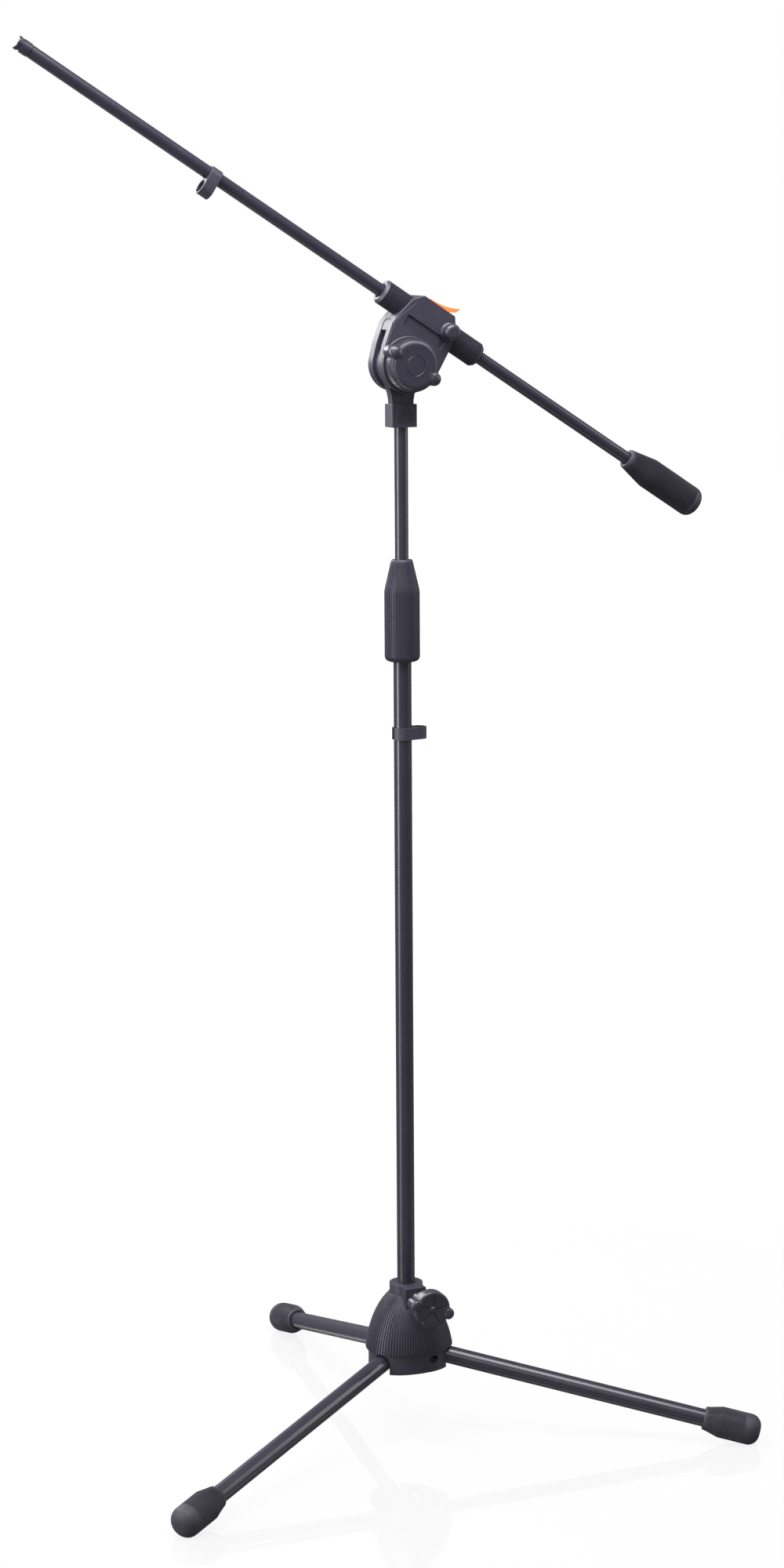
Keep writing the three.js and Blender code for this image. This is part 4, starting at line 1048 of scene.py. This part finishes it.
push_lobes(shape, TILT_KNOB_R, TILT_LOBE_R, TILT_KNOB_R - 7, TILT_KNOB_FACE - 6, LOBE_CROWN)
make_piece("tilt_knob_moulding", shape, IN_HEAD_FRONT, SMOOTH_NYLON, "tilt_knob", ["tilt_knob"])

section = [
    (0, TILT_KNOB_FACE - 2.5),
    (CAP_R - 0.2, TILT_KNOB_FACE - 2.5),
    (CAP_R, TILT_KNOB_FACE - 2.3),
    (CAP_R, TILT_KNOB_FACE - 0.4),
    (CAP_R - 0.4, TILT_KNOB_FACE),
    (0, TILT_KNOB_FACE),
]
make_piece("tilt_knob_button", spun(section, 64), IN_HEAD_FRONT, SMOOTH_NYLON, "tilt_knob",
           ["tilt_knob_cap"])

# %% [markdown]
# The disc behind the knob spreads its pressure over the shell. It is a plain turned ring with
# its rims rounded.

# %% Spacer disc and tilt bolt
SPACER_R = 31.0
SPACER_BACK = 20.3
SPACER_T = 3.0
section = closed(
    [
        (4.3, SPACER_BACK),
        (SPACER_R - 0.5, SPACER_BACK),
        (SPACER_R, SPACER_BACK + 0.5),
        (SPACER_R, SPACER_BACK + SPACER_T - 0.8),
        (SPACER_R - 0.8, SPACER_BACK + SPACER_T),
        (4.3, SPACER_BACK + SPACER_T),
    ]
)
make_piece("pressure_disc", spun(section, 96), IN_HEAD_FRONT, NYLON, "head", ["spacer_disc"])
make_piece("hex_bolt", measured("tilt_bolt"), Matrix(), STEEL, "head", ["tilt_bolt"], bevel=0.5)

# %% [markdown]
# The small round knob clamps the boom. It is a smooth dome on a thin base.

# %% Boom knob
BUTTON_U = (Vector(JOINTS["boom_knob_turn"]["pos_m"]) - TILT).dot(ALONG) / MM
BUTTON_R = 9.2
BUTTON_FRONT = 36.0
section = [
    (0, BUTTON_FRONT),
    *reversed(round_corner(BUTTON_R - 4.5, BUTTON_FRONT - 4.5, 4.5, 0, 90, 9)),
    (BUTTON_R, SPACER_BACK + 4.4),
    (BUTTON_R + 0.4, SPACER_BACK + 4),
    (BUTTON_R + 0.9, SPACER_BACK + 3.8),
    (BUTTON_R + 1.3, SPACER_BACK + 3.2),
    (BUTTON_R + 1.3, SPACER_BACK + 0.4),
    (BUTTON_R + 0.9, SPACER_BACK),
    (3.3, SPACER_BACK),
    (3.3, BUTTON_FRONT - 5),
    (0, BUTTON_FRONT - 5),
]
button_place = frame_of(ALONG, ACROSS, FRONT, TILT + ALONG * BUTTON_U * MM + ACROSS * BOOM_ABOVE)
make_piece("boom_clamp_knob", spun(section, 96), button_place, SMOOTH_NYLON, "boom_knob",
           ["boom_knob"])

# %% [markdown]
# The bright lever frees the boom when it is pressed. Its outline is exact in the frame; rounding
# its edges makes it a moulding.

# %% Release lever
make_piece("lever_moulding", measured("release_lever"), Matrix(), ORANGE, "release_lever",
           ["release_lever"], bevel=0.6)

# %% [markdown]
# The boom's raised end has a ferrule for the microphone's holder, with a turned groove. At the
# other end a ribbed rubber grip covers the iron weight: a bright-edged mouth, a taper, a long
# ribbed body and a round end.

# %% Boom ends
TIP = -540.9
TIP_LENGTH = 17.0
TIP_R = 7.6
section = [
    (0, TIP),
    (TIP_R - 1.0, TIP),
    (TIP_R, TIP + 1.0),
    (TIP_R, TIP + 4.0),
    (TIP_R - 0.8, TIP + 4.5),
    (TIP_R - 0.8, TIP + 6.0),
    (TIP_R, TIP + 6.5),
    (TIP_R, TIP + TIP_LENGTH - 0.8),
    (TIP_R - 0.5, TIP + TIP_LENGTH - 0.3),
    (BOOM_R - 1.3, TIP + TIP_LENGTH - 0.3),
    (BOOM_R - 1.3, TIP + TIP_LENGTH + 25),
    (0, TIP + TIP_LENGTH + 25),
]
make_piece("boom_ferrule", spun(section, 64), ON_BOOM, PAINT, "boom", ["tip_adapter"])

WEIGHT_FROM = 292.0
WEIGHT_TO = 396.4
WEIGHT_R = (high("counterweight_grip", 1) - low("counterweight_grip", 1)) / 2 / MM
WEIGHT_MOUTH_R = 11.2
WEIGHT_TAPER = 32.6
WEIGHT_RIBS = 64
WEIGHT_GROOVE = 0.95
shoulder = (WEIGHT_R, WEIGHT_FROM + WEIGHT_TAPER)
ribs_from = WEIGHT_FROM + 4
section = [
    (0, WEIGHT_TO - 4.7),
    (12.3, WEIGHT_TO - 4.7),
    (12.3, WEIGHT_FROM + WEIGHT_TAPER + 3.7),
    (BOOM_R + 0.3, WEIGHT_FROM + WEIGHT_TAPER + 3.7),
    (BOOM_R + 0.3, WEIGHT_FROM + 0.6),
    (BOOM_R + 1.0, WEIGHT_FROM),
    (WEIGHT_MOUTH_R - 0.8, WEIGHT_FROM),
    (WEIGHT_MOUTH_R, WEIGHT_FROM + 0.8),
    (WEIGHT_MOUTH_R + 0.4, WEIGHT_FROM + 3),
    *steps_between((WEIGHT_MOUTH_R + 0.4, WEIGHT_FROM + 3), shoulder, 6),
    shoulder,
    (WEIGHT_R, WEIGHT_TO - 12),
    (WEIGHT_R, WEIGHT_TO - 11),
    *round_corner(WEIGHT_R - 10, WEIGHT_TO - 10, 10, 0, 90, 9),
    (0, WEIGHT_TO),
]
shape = spun(section, WEIGHT_RIBS * 4)
rib(shape, WEIGHT_RIBS, WEIGHT_GROOVE, ribs_from, WEIGHT_TO - 11.5, inner=WEIGHT_MOUTH_R)
make_piece("weight_grip", shape, ON_BOOM, RUBBER, "boom", ["counterweight_grip"])

# %% [markdown]
# Last, the size of the detailed stand is kept beside the size of the frame, so that the two can
# be compared: the details may stand proud of it by a few millimetres at most.

# %% Sizes
sizes = {
    "frame": [list(corner) for corner in frame_box],
    "detailed": [list(corner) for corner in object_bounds()],
}
for name, (lowest, highest) in sizes.items():
    print(name, [round((b - a) / MM, 1) for a, b in zip(lowest, highest)])
